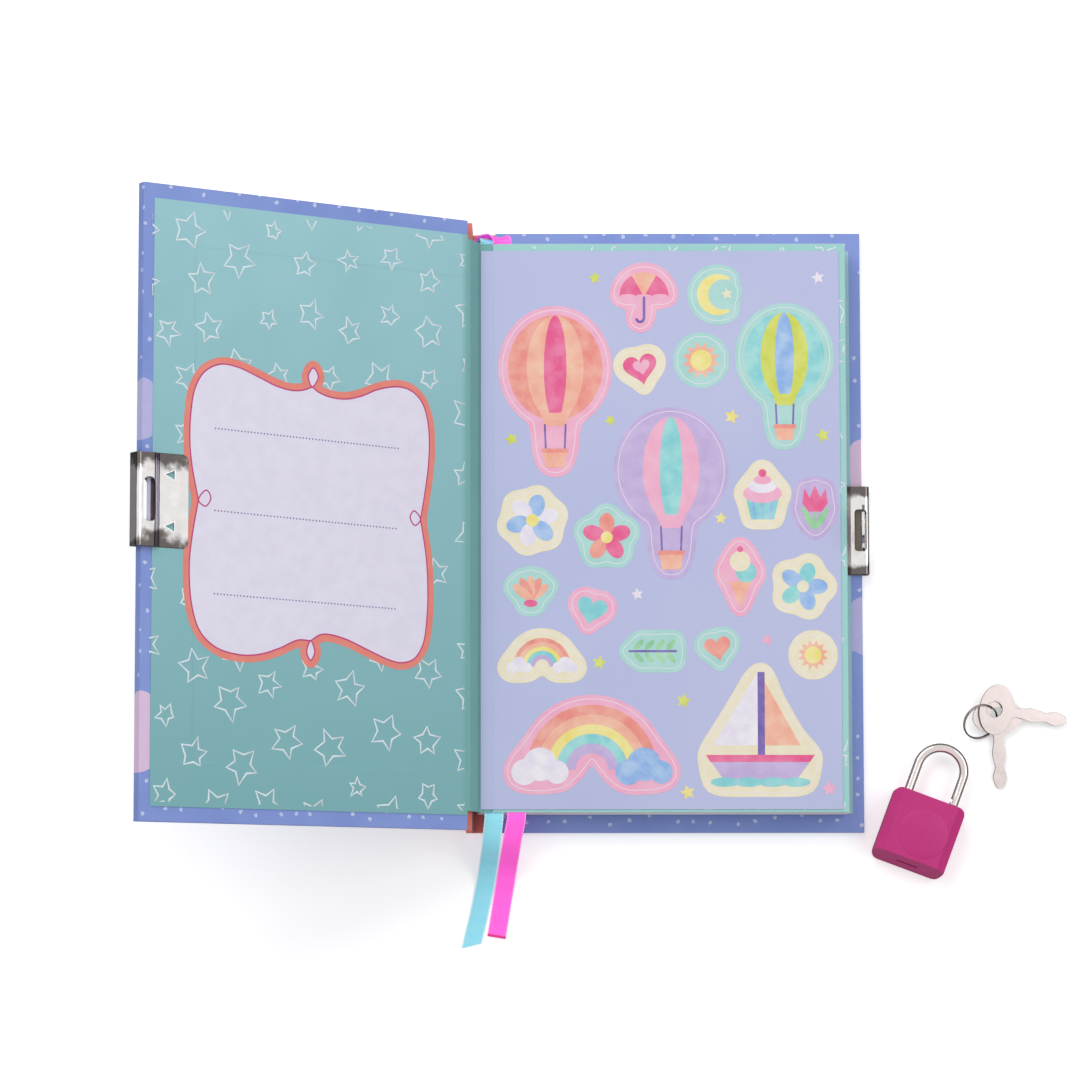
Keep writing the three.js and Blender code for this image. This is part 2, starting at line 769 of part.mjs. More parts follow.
// The padlock's own frame: X across, Y towards the shackle, Z from its back face on the table.
function lockBody() {
  const x = lockWidth / 2;
  const y = lockHeight / 2;
  const front = drawAlongZ(roundedRectangle(-x, x, -y, y, lockCorner), 0, lockDepth, 5);
  const sides = drawAlongY([
    [lockBevelWidth - x, 0],
    [x - lockBevelWidth, 0],
    [x, lockBevelDepth],
    [x, lockDepth - lockBevelDepth],
    [x - lockBevelWidth, lockDepth],
    [lockBevelWidth - x, lockDepth],
    [-x, lockDepth - lockBevelDepth],
    [-x, lockBevelDepth],
  ], lockHeight + 2);
  const slanted = drawAlongY([
    [-y, 0],
    [y + 1, 0],
    [y + 1, lockDepth],
    [lockSlant - y, lockDepth],
  ], lockWidth + 2);
  slanted.rotateZ(Math.PI / 2);
  const outside = toSolid(front).intersect(toSolid(sides)).intersect(toSolid(slanted));
  const cavityX = x - lockSideWall;
  const cavityY = [lockBottomWall - y, y - lockTopWall];
  const cavity = block([-cavityX, cavityX], cavityY, [lockWall, lockDepth - lockWall]);
  const openX = cavityX - lockBackLip;
  const opening = block([-openX, openX], cavityY, [-1, lockWall + 1]);
  const keyhole = block(
    [-keyholeWidth / 2, keyholeWidth / 2],
    [-y - 1, lockBottomWall - y + 1],
    [(lockDepth - keyholeHeight) / 2, (lockDepth + keyholeHeight) / 2],
  );
  const bores = [-1, 1].map((side) => {
    const radius = shackleWire / 2 + shackleFit;
    const bore = new THREE.CylinderGeometry(radius, radius, lockTopWall + 2, 16);
    bore.translate(side * shackleSpan / 2, y - lockTopWall / 2, lockDepth / 2);
    return bore;
  });
  const rib = block(
    [ribX, ribX + ribThickness],
    [cavityY[1] - latchDrop - latchStem, cavityY[1] + 0.5],
    [lockWall, lockDepth - lockWall + 0.5],
  );
  const hollow = cut(toGeometry(outside), cavity, opening, keyhole, ...bores);
  return join(hollow, rib);
}

function lockBack() {
  const openX = lockWidth / 2 - lockSideWall - lockBackLip - lockFit;
  return block(
    [-openX, openX],
    [lockBottomWall - lockHeight / 2 + lockFit, lockHeight / 2 - lockTopWall - lockFit],
    [0, lockWall - lockFit],
  );
}

class ShackleCurve extends THREE.Curve {
  constructor(longEnd, shortEnd, bend, radius) {
    super();
    Object.assign(this, { longEnd, shortEnd, bend, radius });
  }

  getPoint(t, target = new THREE.Vector3()) {
    const { longEnd, shortEnd, bend, radius } = this;
    const rise = bend - longEnd;
    const arc = Math.PI * radius;
    const along = t * (rise + arc + bend - shortEnd);
    if (along < rise) {
      return target.set(-radius, longEnd + along, 0);
    }
    if (along > rise + arc) {
      return target.set(radius, bend - (along - rise - arc), 0);
    }
    const angle = Math.PI - (along - rise) / radius;
    return target.set(radius * Math.cos(angle), bend + radius * Math.sin(angle), 0);
  }
}

function circleShape(radius, sides) {
  const points = Array.from({ length: sides }, (_, i) => {
    const angle = (i + 0.5) * 2 * Math.PI / sides;
    return new THREE.Vector2(radius * Math.cos(angle), radius * Math.sin(angle));
  });
  return new THREE.Shape(points);
}

function shackleGeometry() {
  const top = lockHeight / 2;
  const bend = top + shackleRise - shackleWire / 2 - shackleSpan / 2;
  const shortEnd = top + legLift;
  const path = new ShackleCurve(top - legDepth, shortEnd, bend, shackleSpan / 2);
  const wire = new THREE.ExtrudeGeometry(circleShape(shackleWire / 2, 12), {
    steps: 60,
    extrudePath: path,
    bevelEnabled: false,
  });
  const inner = shackleSpan / 2 - shackleWire / 2;
  const notch = block(
    [inner - 1, inner + notchDepth],
    [shortEnd + notchSetIn, shortEnd + notchSetIn + notchWidth],
    [-shackleWire, shackleWire],
  );
  const notched = cut(wire, notch);
  notched.translate(0, 0, lockDepth / 2);
  return notched;
}

// The latch is drawn back from the short leg, as it is when the key has freed the shackle.
const latchTop = lockHeight / 2 - lockTopWall - latchDrop;

function latchGeometry() {
  const tip = shackleSpan / 2 - shackleWire / 2 - latchDraw;
  const low = (lockDepth - latchDepth) / 2;
  const shape = new THREE.Shape();
  shape.moveTo(latchStemX, latchTop - latchStem);
  shape.lineTo(latchStemX + latchThickness, latchTop - latchStem);
  shape.lineTo(latchStemX + latchThickness, latchTop - latchThickness);
  shape.lineTo(tip, latchTop - latchThickness);
  shape.lineTo(tip, latchTop);
  shape.lineTo(latchStemX, latchTop);
  return drawAlongZ(shape, low, low + latchDepth);
}

// A bowed strip between the latch and the body's rib.
function latchSpringGeometry() {
  const x = ribX + ribThickness + leafSpringGap + leafSpringThickness / 2;
  const middle = latchTop - latchStem / 2;
  const path = bendPath([[x, latchTop], [x + leafSpringBow, middle], [x, latchTop - latchStem]], 4);
  const outline = sheetOutline(path, leafSpringThickness);
  const shape = new THREE.Shape(outline.map(([a, b]) => new THREE.Vector2(a, b)));
  const low = (lockDepth - latchDepth) / 2;
  return drawAlongZ(shape, low, low + latchDepth);
}

class SpringCurve extends THREE.Curve {
  constructor(radius, height, curls) {
    super();
    Object.assign(this, { radius, height, curls });
  }

  getPoint(t, target = new THREE.Vector3()) {
    const angle = 2 * Math.PI * this.curls * t;
    return target.set(this.radius * Math.cos(angle), this.height * t, this.radius * Math.sin(angle));
  }
}

function liftSpringGeometry() {
  const floor = lockBottomWall - lockHeight / 2 + springWire / 2 + leafSpringGap;
  const seat = lockHeight / 2 - legDepth - springGap - retainerThickness;
  const height = seat - springGap - springWire / 2 - floor;
  const coil = new THREE.ExtrudeGeometry(circleShape(springWire / 2, 5), {
    steps: springCurls * 8,
    extrudePath: new SpringCurve(springRadius, height, springCurls),
    bevelEnabled: false,
  });
  const gap = height / springCurls - springWire;
  console.log('least gap between the lift spring curls, mm:', gap.toFixed(2));
  coil.translate(-shackleSpan / 2, floor, lockDepth / 2);
  return coil;
}

// A washer on the foot of the long leg: wider than the bore, it keeps the shackle in.
function retainerGeometry() {
  const radius = shackleWire / 2 + retainerLip;
  const washer = new THREE.CylinderGeometry(radius, radius, retainerThickness, 16);
  const top = lockHeight / 2 - legDepth - springGap;
  washer.translate(-shackleSpan / 2, top - retainerThickness / 2, lockDepth / 2);
  return washer;
}

function padlock() {
  const lock = new THREE.Group();
  lock.add(
    mesh('lock_body', lockBody(), materials.lock),
    mesh('lock_back', lockBack(), materials.lock),
    mesh('lock_latch', latchGeometry(), materials.steel),
    mesh('latch_spring', latchSpringGeometry(), materials.steel),
    mesh('lift_spring', liftSpringGeometry(), materials.steel),
    mesh('shackle_retainer', retainerGeometry(), materials.steel),
    mesh('shackle', shackleGeometry(), materials.steel),
  );
  lock.position.set(coverWidth / 2 + lockSetOut, -halfHeight - lockSetDown, 0);
  lock.rotation.z = lockYaw;
  return lock;
}

// A flat key about the middle of its hole, blade along +X, halfway through its thickness at z = 0.
function keyGeometry() {
  const edge = new THREE.SplineCurve(bladeWave.map(([s, w]) => new THREE.Vector2(s, w)));
  const upper = edge.getPoints(24);
  const lower = upper.map((p) => new THREE.Vector2(p.x, -p.y));
  const neck = Math.asin(neckSpread * bladeWave[0][1] / (bowHeight / 2));
  const bow = [];
  const steps = 28;
  for (let i = 0; i <= steps; i += 1) {
    const angle = neck + i * (2 * Math.PI - 2 * neck) / steps;
    bow.push(new THREE.Vector2(
      bowSetOut + bowLength / 2 * Math.cos(angle),
      bowHeight / 2 * Math.sin(angle),
    ));
  }
  const shape = new THREE.Shape([...bow, ...lower, ...upper.reverse()]);
  const hole = new THREE.Path();
  hole.absarc(0, 0, keyHole / 2, 0, 2 * Math.PI);
  shape.holes.push(hole);
  return drawAlongZ(shape, -keyThickness / 2, keyThickness / 2, 12);
}

function ringGeometry() {
  const sides = 8;
  const section = [];
  for (let i = 0; i <= sides; i += 1) {
    const angle = (i % sides) * 2 * Math.PI / sides;
    section.push(new THREE.Vector2(
      ringRadius + ringWire / 2 * Math.cos(angle),
      ringWire / 2 * Math.sin(angle),
    ));
  }
  const ring = new THREE.LatheGeometry(section, 36);
  ring.rotateX(Math.PI / 2);
  return ring;
}

// The ring leans with one side on the table and passes through both holes, where one key lies
// over the other. The whole bunch leans a little towards the lower right.
function keysOnRing() {
  const along = new THREE.Vector3(Math.cos(ringTurn), Math.sin(ringTurn), 0);
  const uphill = new THREE.Vector3(-along.y, along.x, 0);
  const level = (keyThickness + keyGap) / 2;
  const rise = Math.asin(level / (ringRadius * Math.sin(ringTilt)));
  const hang = along.clone().multiplyScalar(keySlackX).addScaledVector(uphill, -keySlackY);
  const ring = mesh('key_ring', ringGeometry(), materials.steel);
  ring.rotation.x = ringTilt;
  const turned = new THREE.Group();
  turned.add(ring);
  turned.rotation.z = ringTurn;
  const place = (name, side, yaw) => {
    const key = mesh(name, keyGeometry(), materials.steel);
    key.position.copy(hang)
      .addScaledVector(along, ringRadius * Math.cos(rise))
      .addScaledVector(uphill, side * ringRadius * Math.sin(rise) * Math.cos(ringTilt));
    key.position.z = side * level;
    key.rotation.z = yaw;
    return key;
  };
  const bunch = new THREE.Group();
  bunch.add(turned, place('key_a', 1, keyAYaw), place('key_b', -1, keyBYaw));
  const upright = new THREE.Vector3(0, 0, 1);
  const leaning = new THREE.Vector3(keySlope, -keySlope, 1).normalize();
  bunch.quaternion.setFromUnitVectors(upright, leaning);
  const lowest = new THREE.Box3().setFromObject(bunch, true).min.z;
  bunch.position.set(coverWidth / 2 + ringSetOut, ringSetUp - halfHeight, keyClearance - lowest);
  return bunch;
}

const diary = new THREE.Group();
const book = new THREE.Group();
book.add(
  ...backCover(),
  frontCover(),
  ...spine(),
  ...joints(),
  ...pageBlock(),
  ...ribbonMeshes('blue', materials.ribbonBlue),
  ...ribbonMeshes('pink', materials.ribbonPink),
);
book.position.x = -coverWidth / 2;
diary.add(book, padlock(), keysOnRing());

export default diary;
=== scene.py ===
import functools
import json
import math
import random

import bmesh
import bpy
import numpy as np
from mathutils import Euler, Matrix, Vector


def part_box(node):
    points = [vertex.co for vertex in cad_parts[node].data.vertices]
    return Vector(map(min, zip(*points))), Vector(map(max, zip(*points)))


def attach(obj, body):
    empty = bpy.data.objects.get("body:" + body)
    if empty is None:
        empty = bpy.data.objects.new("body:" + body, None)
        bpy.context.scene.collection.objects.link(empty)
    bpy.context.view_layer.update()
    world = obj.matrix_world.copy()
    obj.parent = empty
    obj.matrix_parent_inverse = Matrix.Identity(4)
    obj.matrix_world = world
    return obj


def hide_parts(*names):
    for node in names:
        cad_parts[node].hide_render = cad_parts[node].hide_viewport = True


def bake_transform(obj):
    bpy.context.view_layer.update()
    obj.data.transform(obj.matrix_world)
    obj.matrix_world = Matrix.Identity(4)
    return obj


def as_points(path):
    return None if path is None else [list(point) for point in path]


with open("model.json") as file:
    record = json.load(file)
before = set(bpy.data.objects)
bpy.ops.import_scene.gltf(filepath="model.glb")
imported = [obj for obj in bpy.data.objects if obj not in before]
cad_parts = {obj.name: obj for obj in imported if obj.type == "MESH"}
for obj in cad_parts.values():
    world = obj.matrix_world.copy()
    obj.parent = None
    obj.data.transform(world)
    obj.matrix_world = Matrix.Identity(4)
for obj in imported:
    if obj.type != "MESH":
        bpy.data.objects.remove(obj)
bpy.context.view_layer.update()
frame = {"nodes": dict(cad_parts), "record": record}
print("frame loaded")

mm = 0.001
joints = {joint["name"]: joint for joint in frame["record"]["behaviour"]["joints"]}

# places on the book are in millimetres: x from the spine, y towards the head, z from the table
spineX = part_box("spine_wrap")[0][0]
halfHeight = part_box("back_wrap")[1][1] / mm
coverWidth = (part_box("back_wrap")[1][0] - spineX) / mm
blockBack = (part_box("signature_1")[0][0] - spineX) / mm
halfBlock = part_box("signature_1")[1][1] / mm
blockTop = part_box("signature_6")[1][2] / mm
paperEdge = 75.1  # half the height of the endpapers


def book(x, y, z):
    return Vector((spineX + x * mm, y * mm, z * mm))


def onTopOf(node):
    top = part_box(node)[1][2] / mm
    return lambda x, y, height=0: book(x, y, top + height)


# the front cover lies open about its hinge; s runs from the spine to the fore-edge
frontHinge = Vector(joints["front_cover_hinge"]["pos_m"])
openAngle = math.radians(-joints["front_cover_hinge"]["range_deg"][0])
hingeFromSpine = (frontHinge.x - spineX) / mm
alongFront = Vector((math.cos(openAngle), 0, math.sin(openAngle)))
awayFromFront = Vector((math.sin(openAngle), 0, -math.cos(openAngle)))
pastedownLevel = max((v.co - frontHinge).dot(awayFromFront)
                     for v in frame["nodes"]["front_pastedown"].data.vertices) / mm


def onFront(s, y, height=0):
    out = alongFront * (s - hingeFromSpine) + awayFromFront * (pastedownLevel + height)
    return frontHinge + out * mm + Vector((0, y * mm, 0))


# camera: nearly straight down, with a long lens

cameraView = {
    "place": (-0.03653, -0.12519, 1.15759),
    "turn": (6.07, -0.17, -0.05),
    "lens": 145.8,
    "sensor": 36,
    "nearest": 0.05,
}


def makeCamera():
    data = bpy.data.cameras.new("camera")
    data.lens = cameraView["lens"]
    data.sensor_width = cameraView["sensor"]
    data.clip_start = cameraView["nearest"]
    camera = bpy.data.objects.new("camera", data)
    camera.location = cameraView["place"]
    camera.rotation_euler = Euler([math.radians(a) for a in cameraView["turn"]])
    bpy.context.scene.collection.objects.link(camera)
    bpy.context.scene.camera = camera


makeCamera()


# small helpers for materials

def linear(hexColour):
    channels = [int(hexColour[i:i + 2], 16) / 255 for i in (1, 3, 5)]
    return (*[c / 12.92 if c <= 0.04045 else ((c + 0.055) / 1.055) ** 2.4 for c in channels], 1)


# fills a node's sockets: those in use, in order, and others by name; a node stands for its output
# and a hex value for its colour
def wire(node, *values, **named):
    inUse = [socket for socket in node.inputs if socket.enabled]
    chosen = [(node.inputs[name.replace("_", " ")], value) for name, value in named.items()]
    for socket, value in [*zip(inUse, values), *chosen]:
        if isinstance(value, bpy.types.Node):
            value = next(output for output in value.outputs if output.enabled)
        if isinstance(value, str):
            value = linear(value)
        if isinstance(value, bpy.types.NodeSocket):
            node.id_data.links.new(value, socket)
        else:
            socket.default_value = value


# adds a node, a shader's unless its kind says more; names in lower case are its settings, the
# others its sockets
def addNode(tree, kind, *values, **named):
    node = tree.nodes.new(kind if "Node" in kind else "ShaderNode" + kind)
    for name, value in named.items():
        if name[0].islower():
            setattr(node, name, value)
    wire(node, *values, **{name: value for name, value in named.items() if name[0].isupper()})
    return node


def newMaterial(name, **sockets):
    material = bpy.data.materials.new(name)
    material.use_nodes = True
    shader = material.node_tree.nodes["Principled BSDF"]
    wire(shader, **sockets)
    return material, shader, functools.partial(addNode, material.node_tree)


grain = 0.55  # roughness of the noise in every finish


# lays bumps over each other; a height is a node, or the size in mm and detail of some noise
def addRelief(shader, point, *layers):
    add = functools.partial(addNode, shader.id_data)
    for height, depth, strength in layers:
        if isinstance(height, tuple):
            size, detail = height
            height = add("TexNoise", point, 1 / (size * mm), detail, grain)
        bump = add("Bump", Height=height, Distance=depth * mm, Strength=strength)
        last = shader.inputs["Normal"].links
        if last:
            wire(bump, Normal=last[0].from_socket)
        wire(shader, Normal=bump)


# two tones that drift into each other, under fine relief
def washedMaterial(name, tones, size, detail, relief, contrast=(0, 1), **sockets):
    material, shader, add = newMaterial(name, **sockets)
    point = add("TexCoord").outputs["Object"]
    drift = add("TexNoise", point, 1 / (size * mm), detail, grain)
    share = add("MapRange", drift, *contrast)
    wire(shader, Base_Color=add("Mix", share, *tones, data_type="RGBA"))
    addRelief(shader, point, *relief)
    return material


# small helpers for meshes

# slot, the finish that it shows, is not used; node is what it stands for in the CAD part
def newPiece(name, mesh, body, *materials, slot=None, node=None):
    piece = bpy.data.objects.new(name, mesh)
    bpy.context.scene.collection.objects.link(piece)
    for material in materials:
        mesh.materials.append(material)
    if body:
        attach(piece, body)
    if node:
        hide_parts(node)
    return piece


def outwards(mesh):
    built = bmesh.new()
    built.from_mesh(mesh)
    bmesh.ops.recalc_face_normals(built, faces=built.faces)
    built.to_mesh(mesh)
    built.free()


def meshFrom(name, verts, faces, slots=None):
    mesh = bpy.data.meshes.new(name)
    mesh.from_pydata([tuple(v) for v in verts], [], faces)
    if slots:
        mesh.polygons.foreach_set("material_index", slots)
    mesh.update()
    return mesh


# faces of a closed skin over rings of points, capped at both ends unless it runs round
def skinFaces(rings, size, first=0, runsRound=False):
    faces = []
    for i in range(rings if runsRound else rings - 1):
        a, b = first + i * size, first + (i + 1) % rings * size
        faces += [(a + k, a + (k + 1) % size, b + (k + 1) % size, b + k) for k in range(size)]
    if not runsRound:
        last = first + (rings - 1) * size
        faces += [tuple(range(first, first + size)), tuple(range(last, last + size))]
    return faces


def loft(name, rings, sharpest):
    mesh = meshFrom(name, [point for ring in rings for point in ring],
                    skinFaces(len(rings), len(rings[0])))
    mesh.polygons.foreach_set("use_smooth", [True] * len(mesh.polygons))
    outwards(mesh)
    mesh.set_sharp_from_angle(angle=math.radians(sharpest))
    return mesh


# a smooth line through listed points, near or far apart
def curveThrough(points, steps):
    gaps = [math.sqrt(max((b - a).length, 1e-9)) for a, b in zip(points, points[1:])]
    slopes = []
    for i in range(len(points)):
        if 0 < i < len(points) - 1:
            before, after = gaps[i - 1], gaps[i]
            slopes.append((points[i] - points[i - 1]) / before
                          - (points[i + 1] - points[i - 1]) / (before + after)
                          + (points[i + 1] - points[i]) / after)
        else:
            j = min(i, len(gaps) - 1)
            slopes.append((points[j + 1] - points[j]) / gaps[j])
    line = []
    for i, gap in enumerate(gaps):
        for k in range(steps):
            t = k / steps
            line.append(points[i] * (2 * t ** 3 - 3 * t ** 2 + 1)
                        + slopes[i] * gap * (t ** 3 - 2 * t ** 2 + t)
                        + points[i + 1] * (3 * t ** 2 - 2 * t ** 3)
                        + slopes[i + 1] * gap * (t ** 3 - t ** 2))
    return [*line, points[-1].copy()]


def lineLength(line):
    return sum((b - a).length for a, b in zip(line, line[1:]))


# a smooth-shaded copy of a CAD node, with its sharp edges rounded off
def roundedCopy(node, name, radius, body, slot, *materials, segments=3, picked=None, sharpest=30):
    built = bmesh.new()
    built.from_mesh(frame["nodes"][node].data)
    bmesh.ops.remove_doubles(built, verts=built.verts, dist=0.002 * mm)
    bmesh.ops.dissolve_limit(built, angle_limit=math.radians(1), verts=built.verts,
                             edges=built.edges)
    edges = [e for e in built.edges if len(e.link_faces) == 2
             and e.calc_face_angle(0) > math.radians(sharpest) and (picked is None or picked(e))]
    if radius:
        bmesh.ops.bevel(built, geom=edges, offset=radius * mm, segments=segments, profile=0.5,
                        affect="EDGES", clamp_overlap=True)
    bmesh.ops.recalc_face_normals(built, faces=built.faces)
    mesh = bpy.data.meshes.new(name)
    built.to_mesh(mesh)
    built.free()
    mesh.materials.clear()
    mesh.polygons.foreach_set("use_smooth", [True] * len(mesh.polygons))
    mesh.set_sharp_from_angle(angle=math.radians(40))
    piece = newPiece(name, mesh, None, *materials)
    piece.modifiers.new("even shading", "WEIGHTED_NORMAL").keep_sharp = True
    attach(piece, body)
    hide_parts(node)
    return piece


def dress(material, *nodes):
    for node in nodes:
        mesh = frame["nodes"][node].data
        mesh.materials.clear()
        mesh.materials.append(material)


# ribbons: polyester satin, woven with tiny loops along both edges

ribbon = {
    "width": 5,
    "thickness": 0.2,
    "edgeThickness": 0.3,
    "edgeWidth": 0.35,
    "edgeRounding": 0.45,
    "loopSpacing": 0.9,
    "loopRise": 0.12,
    "threadSpacing": 0.4,  # drawn about three times as coarse as satin, so that they show
    "ribSpacing": 0.7,
    "overlap": 0.45,
    "lying": 0.3,
    "tailGap": 0.3,
    "steps": 9,
    # colour, shade, woven edge, painted glow and its level; the cut end of the tail from a length
    # in mm
    "blue": ("#A4F0FF", "#90E4FA", "#E4F9FF", "#80E8FF", 0.06),
    "pink": ("#FF6CDC", "#FF5AD2", "#FFA0E8", "#FF4AC8", 0.28, (37.1, "#C2185B")),
}

# held: x, y and z about the block's head, and the way across; tail: x, y, share of the height
# of the block's top, and turn
up = (0, 0, 1)
flat = (-1, 0, 0)
ribbonRoutes = {
    "blue": {
        "level": blockTop + 0.18,
        "held": [(-0.6, -23.3, -5.1, up), (-0.6, -11.65, -5.1, up), (-0.6, -3.3, -5.1, up),
                 (-0.6, -0.5, -5.1, up), (0.1, 0.75, -4.4, (0.1, -0.15, 1)),
                 (1.5, 1.25, -2.7, (0, -0.1, 1)), (2.6, 1.2, -1, (-0.75, 0, 0.65)),
                 (3.1, 0.5, -0.05, (-1, 0, 0.05)), (3.1, -0.3, 0, flat), (3.1, -1.8, 0, flat),
                 (3.4, -30.1, 0, flat), (3.9, -90.4, 0, flat), (4.3, -150.6, 0, flat)],
        "tail": [(4.3, 0, 1, 0), (4.25, 1.5, 0.996, 0), (4, 3.7, 0.95, 0), (3.7, 6.5, 0.856, 0),
                 (3.4, 9, 0.704, 0), (3.1, 10.95, 0.493, 0.05), (2.8, 12.9, 0.283, 0.1),
                 (2.4, 15.4, 0.13, 0.15), (1.85, 18.4, 0.033, 0.17), (1.15, 21.7, 0, 0.2),
                 (0.2, 26.2, 0, 0.22), (-0.9, 30.7, 0, 0.24), (-2, 35.3, 0, 0.25)],
        "slant": 2.6,
        "length": 0.041,
    },
    "pink": {
        "level": blockTop + 0.46,
        "held": [(-1.2, -23.3, -5.1, up), (-1.2, -11.65, -5.1, up), (-1.2, -3.3, -5.1, up),
                 (-1.15, 0.1, -5.1, up), (-0.1, 1.4, -4.5, up), (1.4, 2.2, -2.9, (-0.15, 0, 1)),
                 (3.9, 2.1, -1.7, (-0.8, 0.2, 0.35)), (5.8, 1.4, -0.4, (-0.95, 0.1, 0.05)),
                 (6.4, 0.6, 0, flat), (6.4, -0.3, 0, flat), (6.4, -1.8, 0, flat),
                 (7.1, -30.1, 0, flat), (8.7, -90.4, 0, flat), (10.2, -150.6, 0, flat)],
        "tail": [(10.2, 0, 1, 0), (10.1, 1.5, 0.996, 0.03), (9.7, 3.7, 0.947, 0.07),
                 (9.1, 6.5, 0.847, 0.1), (8.65, 9, 0.69, 0.12), (8.3, 10.95, 0.484, 0.14),
                 (7.95, 12.9, 0.277, 0.15), (7.55, 15.4, 0.128, 0.16), (7.05, 18.4, 0.033, 0.16),
                 (6.5, 21.7, 0, 0.16), (5.7, 26.7, 0, 0.16), (4.85, 31.9, 0, 0.16)],
        "slant": 0,
        "length": 0.038,
    },
}


# satin weave: long glossy threads along the ribbon, fine cross ribs, bright looped edges; the
# ribbons also glow, the pink the most: painted light that makes them brighter than the lamps do
def satinRibbon(name, colour, shade, edge, paintedLightColour, paintedLightLevel, endInk=None):
    material, shader, add = newMaterial(name, Roughness=0.42, Sheen_Weight=0.12,
                                        Sheen_Roughness=0.35, Anisotropic=0.4,
                                        Emission_Color=paintedLightColour, Emission_Strength=paintedLightLevel)
    uv = add("UVMap", uv_map="along")
    across, along = add("SeparateXYZ", uv).outputs[:2]
    waves = math.pi / 10  # bands of a wave node that fit one unit
    threads = add("TexWave", uv, waves * ribbon["width"] / ribbon["threadSpacing"],
                  0.6, 1, bands_direction="X")
    ribs = add("TexWave", uv, waves / ribbon["ribSpacing"], 0.4, 1, bands_direction="Y")
    drift = add("TexNoise", uv, 0.35, 2)
    body = add("Mix", drift, shade, colour, data_type="RGBA")
    centred = add("Math", across, 0.5, operation="SUBTRACT")
    fromMiddle = add("Math", centred, operation="ABSOLUTE")
    fromEdge = add("Math", 0.5, fromMiddle, operation="SUBTRACT")
    inEdge = add("Math", fromEdge, ribbon["edgeWidth"] / ribbon["width"], operation="LESS_THAN")
    turns = add("Math", along, 2 * math.pi / ribbon["loopSpacing"], operation="MULTIPLY")
    dotted = add("Math", add("Math", turns, operation="SINE"), -0.2, operation="GREATER_THAN")
    loops = add("Math", dotted, 0.6, 0.5, operation="MULTIPLY_ADD")
    edges = add("Math", inEdge, loops, operation="MULTIPLY")
    coloured = add("Mix", edges, body, edge, data_type="RGBA")
    if endInk:
        near = add("Math", along, endInk[0], operation="GREATER_THAN")
        coloured = add("Mix", near, coloured, endInk[1], data_type="RGBA")
    wire(shader, Base_Color=coloured)
    addRelief(shader, uv, (threads.outputs["Fac"], 0.02, 0.25), (ribs.outputs["Fac"], 0.03, 0.3))
    return material


# a woven strip with looped edges; each route point is a centre and a widthways direction
def ribbonMesh(name, route, steps, slant=0, held=False):
    centres = curveThrough([p for p, _ in route], steps)
    widths = [a for _, a in route]
    sideways = [a.lerp(b, k / steps) for a, b in zip(widths, widths[1:]) for k in range(steps)]
    sideways.append(widths[-1])
    total = lineLength(centres)
    half = ribbon["width"] / 2
    inner = half - ribbon["edgeWidth"]
    profile = []
    for u in (-1, -inner / half, -0.5, 0, 0.5, inner / half, 1):
        thick = ribbon["edgeThickness"] if abs(u) * half >= inner else ribbon["thickness"]
        profile.append((u, thick / 2 * (ribbon["edgeRounding"] if abs(u) == 1 else 1)))
    ringShape = [(u, -h) for u, h in profile] + [(u, h) for u, h in reversed(profile)]
    rings, uvs, gone = [], [], 0
    for i, centre in enumerate(centres):
        before, after = centres[max(i - 1, 0)], centres[min(i + 1, len(centres) - 1)]
        along = (after - before).normalized()
        gone += (centre - centres[i - 1]).length if i else 0
        across = (sideways[i] - along * along.dot(sideways[i])).normalized()
        above = along.cross(across).normalized()
        loop = abs(math.sin(math.pi * gone / mm / ribbon["loopSpacing"]))
        ring = []
        for u, h in ringShape:
            out = half + ribbon["loopRise"] * (loop - 1) if abs(u) == 1 else half
            cutBack = slant * (1 - u) / 2 * max(0, gone / total - 0.75) / 0.25
            ring.append(centre + (across * u * out + above * h - along * cutBack) * mm)
            uvs.append(((u + 1) / 2, (gone - total * held) / mm))
        rings.append(ring)
    mesh = loft(name, rings, 60)
    layer = mesh.uv_layers.new(name="along")
    for corner in mesh.loops:
        layer.data[corner.index].uv = uvs[corner.vertex_index]
    return mesh, centres


def makeRibbon(colour):
    material = satinRibbon(f"{colour} polyester satin", *ribbon[colour])
    facts = ribbonRoutes[colour]
    level, lying, steps = facts["level"], ribbon["lying"], ribbon["steps"]
    held = [(book(blockBack + x, halfBlock + y, level + z), Vector(a))
            for x, y, z, a in facts["held"]]
    tail = [(book(blockBack + x, -halfBlock - ribbon["tailGap"] - y,
                  lying + share * (level - lying)), Vector((-1, turn, 0)))
            for x, y, share, turn in facts["tail"]]
    under = held[-1][0] + Vector((0, -ribbon["overlap"] * mm, -0.02 * mm))
    heldMesh, _ = ribbonMesh(f"ribbon_{colour}_under_flyleaf", [*held, (under, held[-1][1])],
                             steps, held=True)
    newPiece(heldMesh.name, heldMesh, "back_cover", material, slot=f"{colour}_satin",
             node=f"ribbon_{colour}")
    tailMesh, line = ribbonMesh(f"ribbon_{colour}_free_end", tail, steps * 2, facts["slant"])
    tailPiece = newPiece(tailMesh.name, tailMesh, "back_cover", material,
                         slot=f"{colour}_satin", node=f"ribbon_{colour}_tail")
    tuple(line[0])
    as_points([tuple(p) for p in line[::6]] + [tuple(line[-1])])
    print("ribbon", colour, round(lineLength(line) / mm, 1), "mm free")


for colour in ribbonRoutes:
    makeRibbon(colour)
print("ribbons made")


# covers: printed paper turned in over grey board

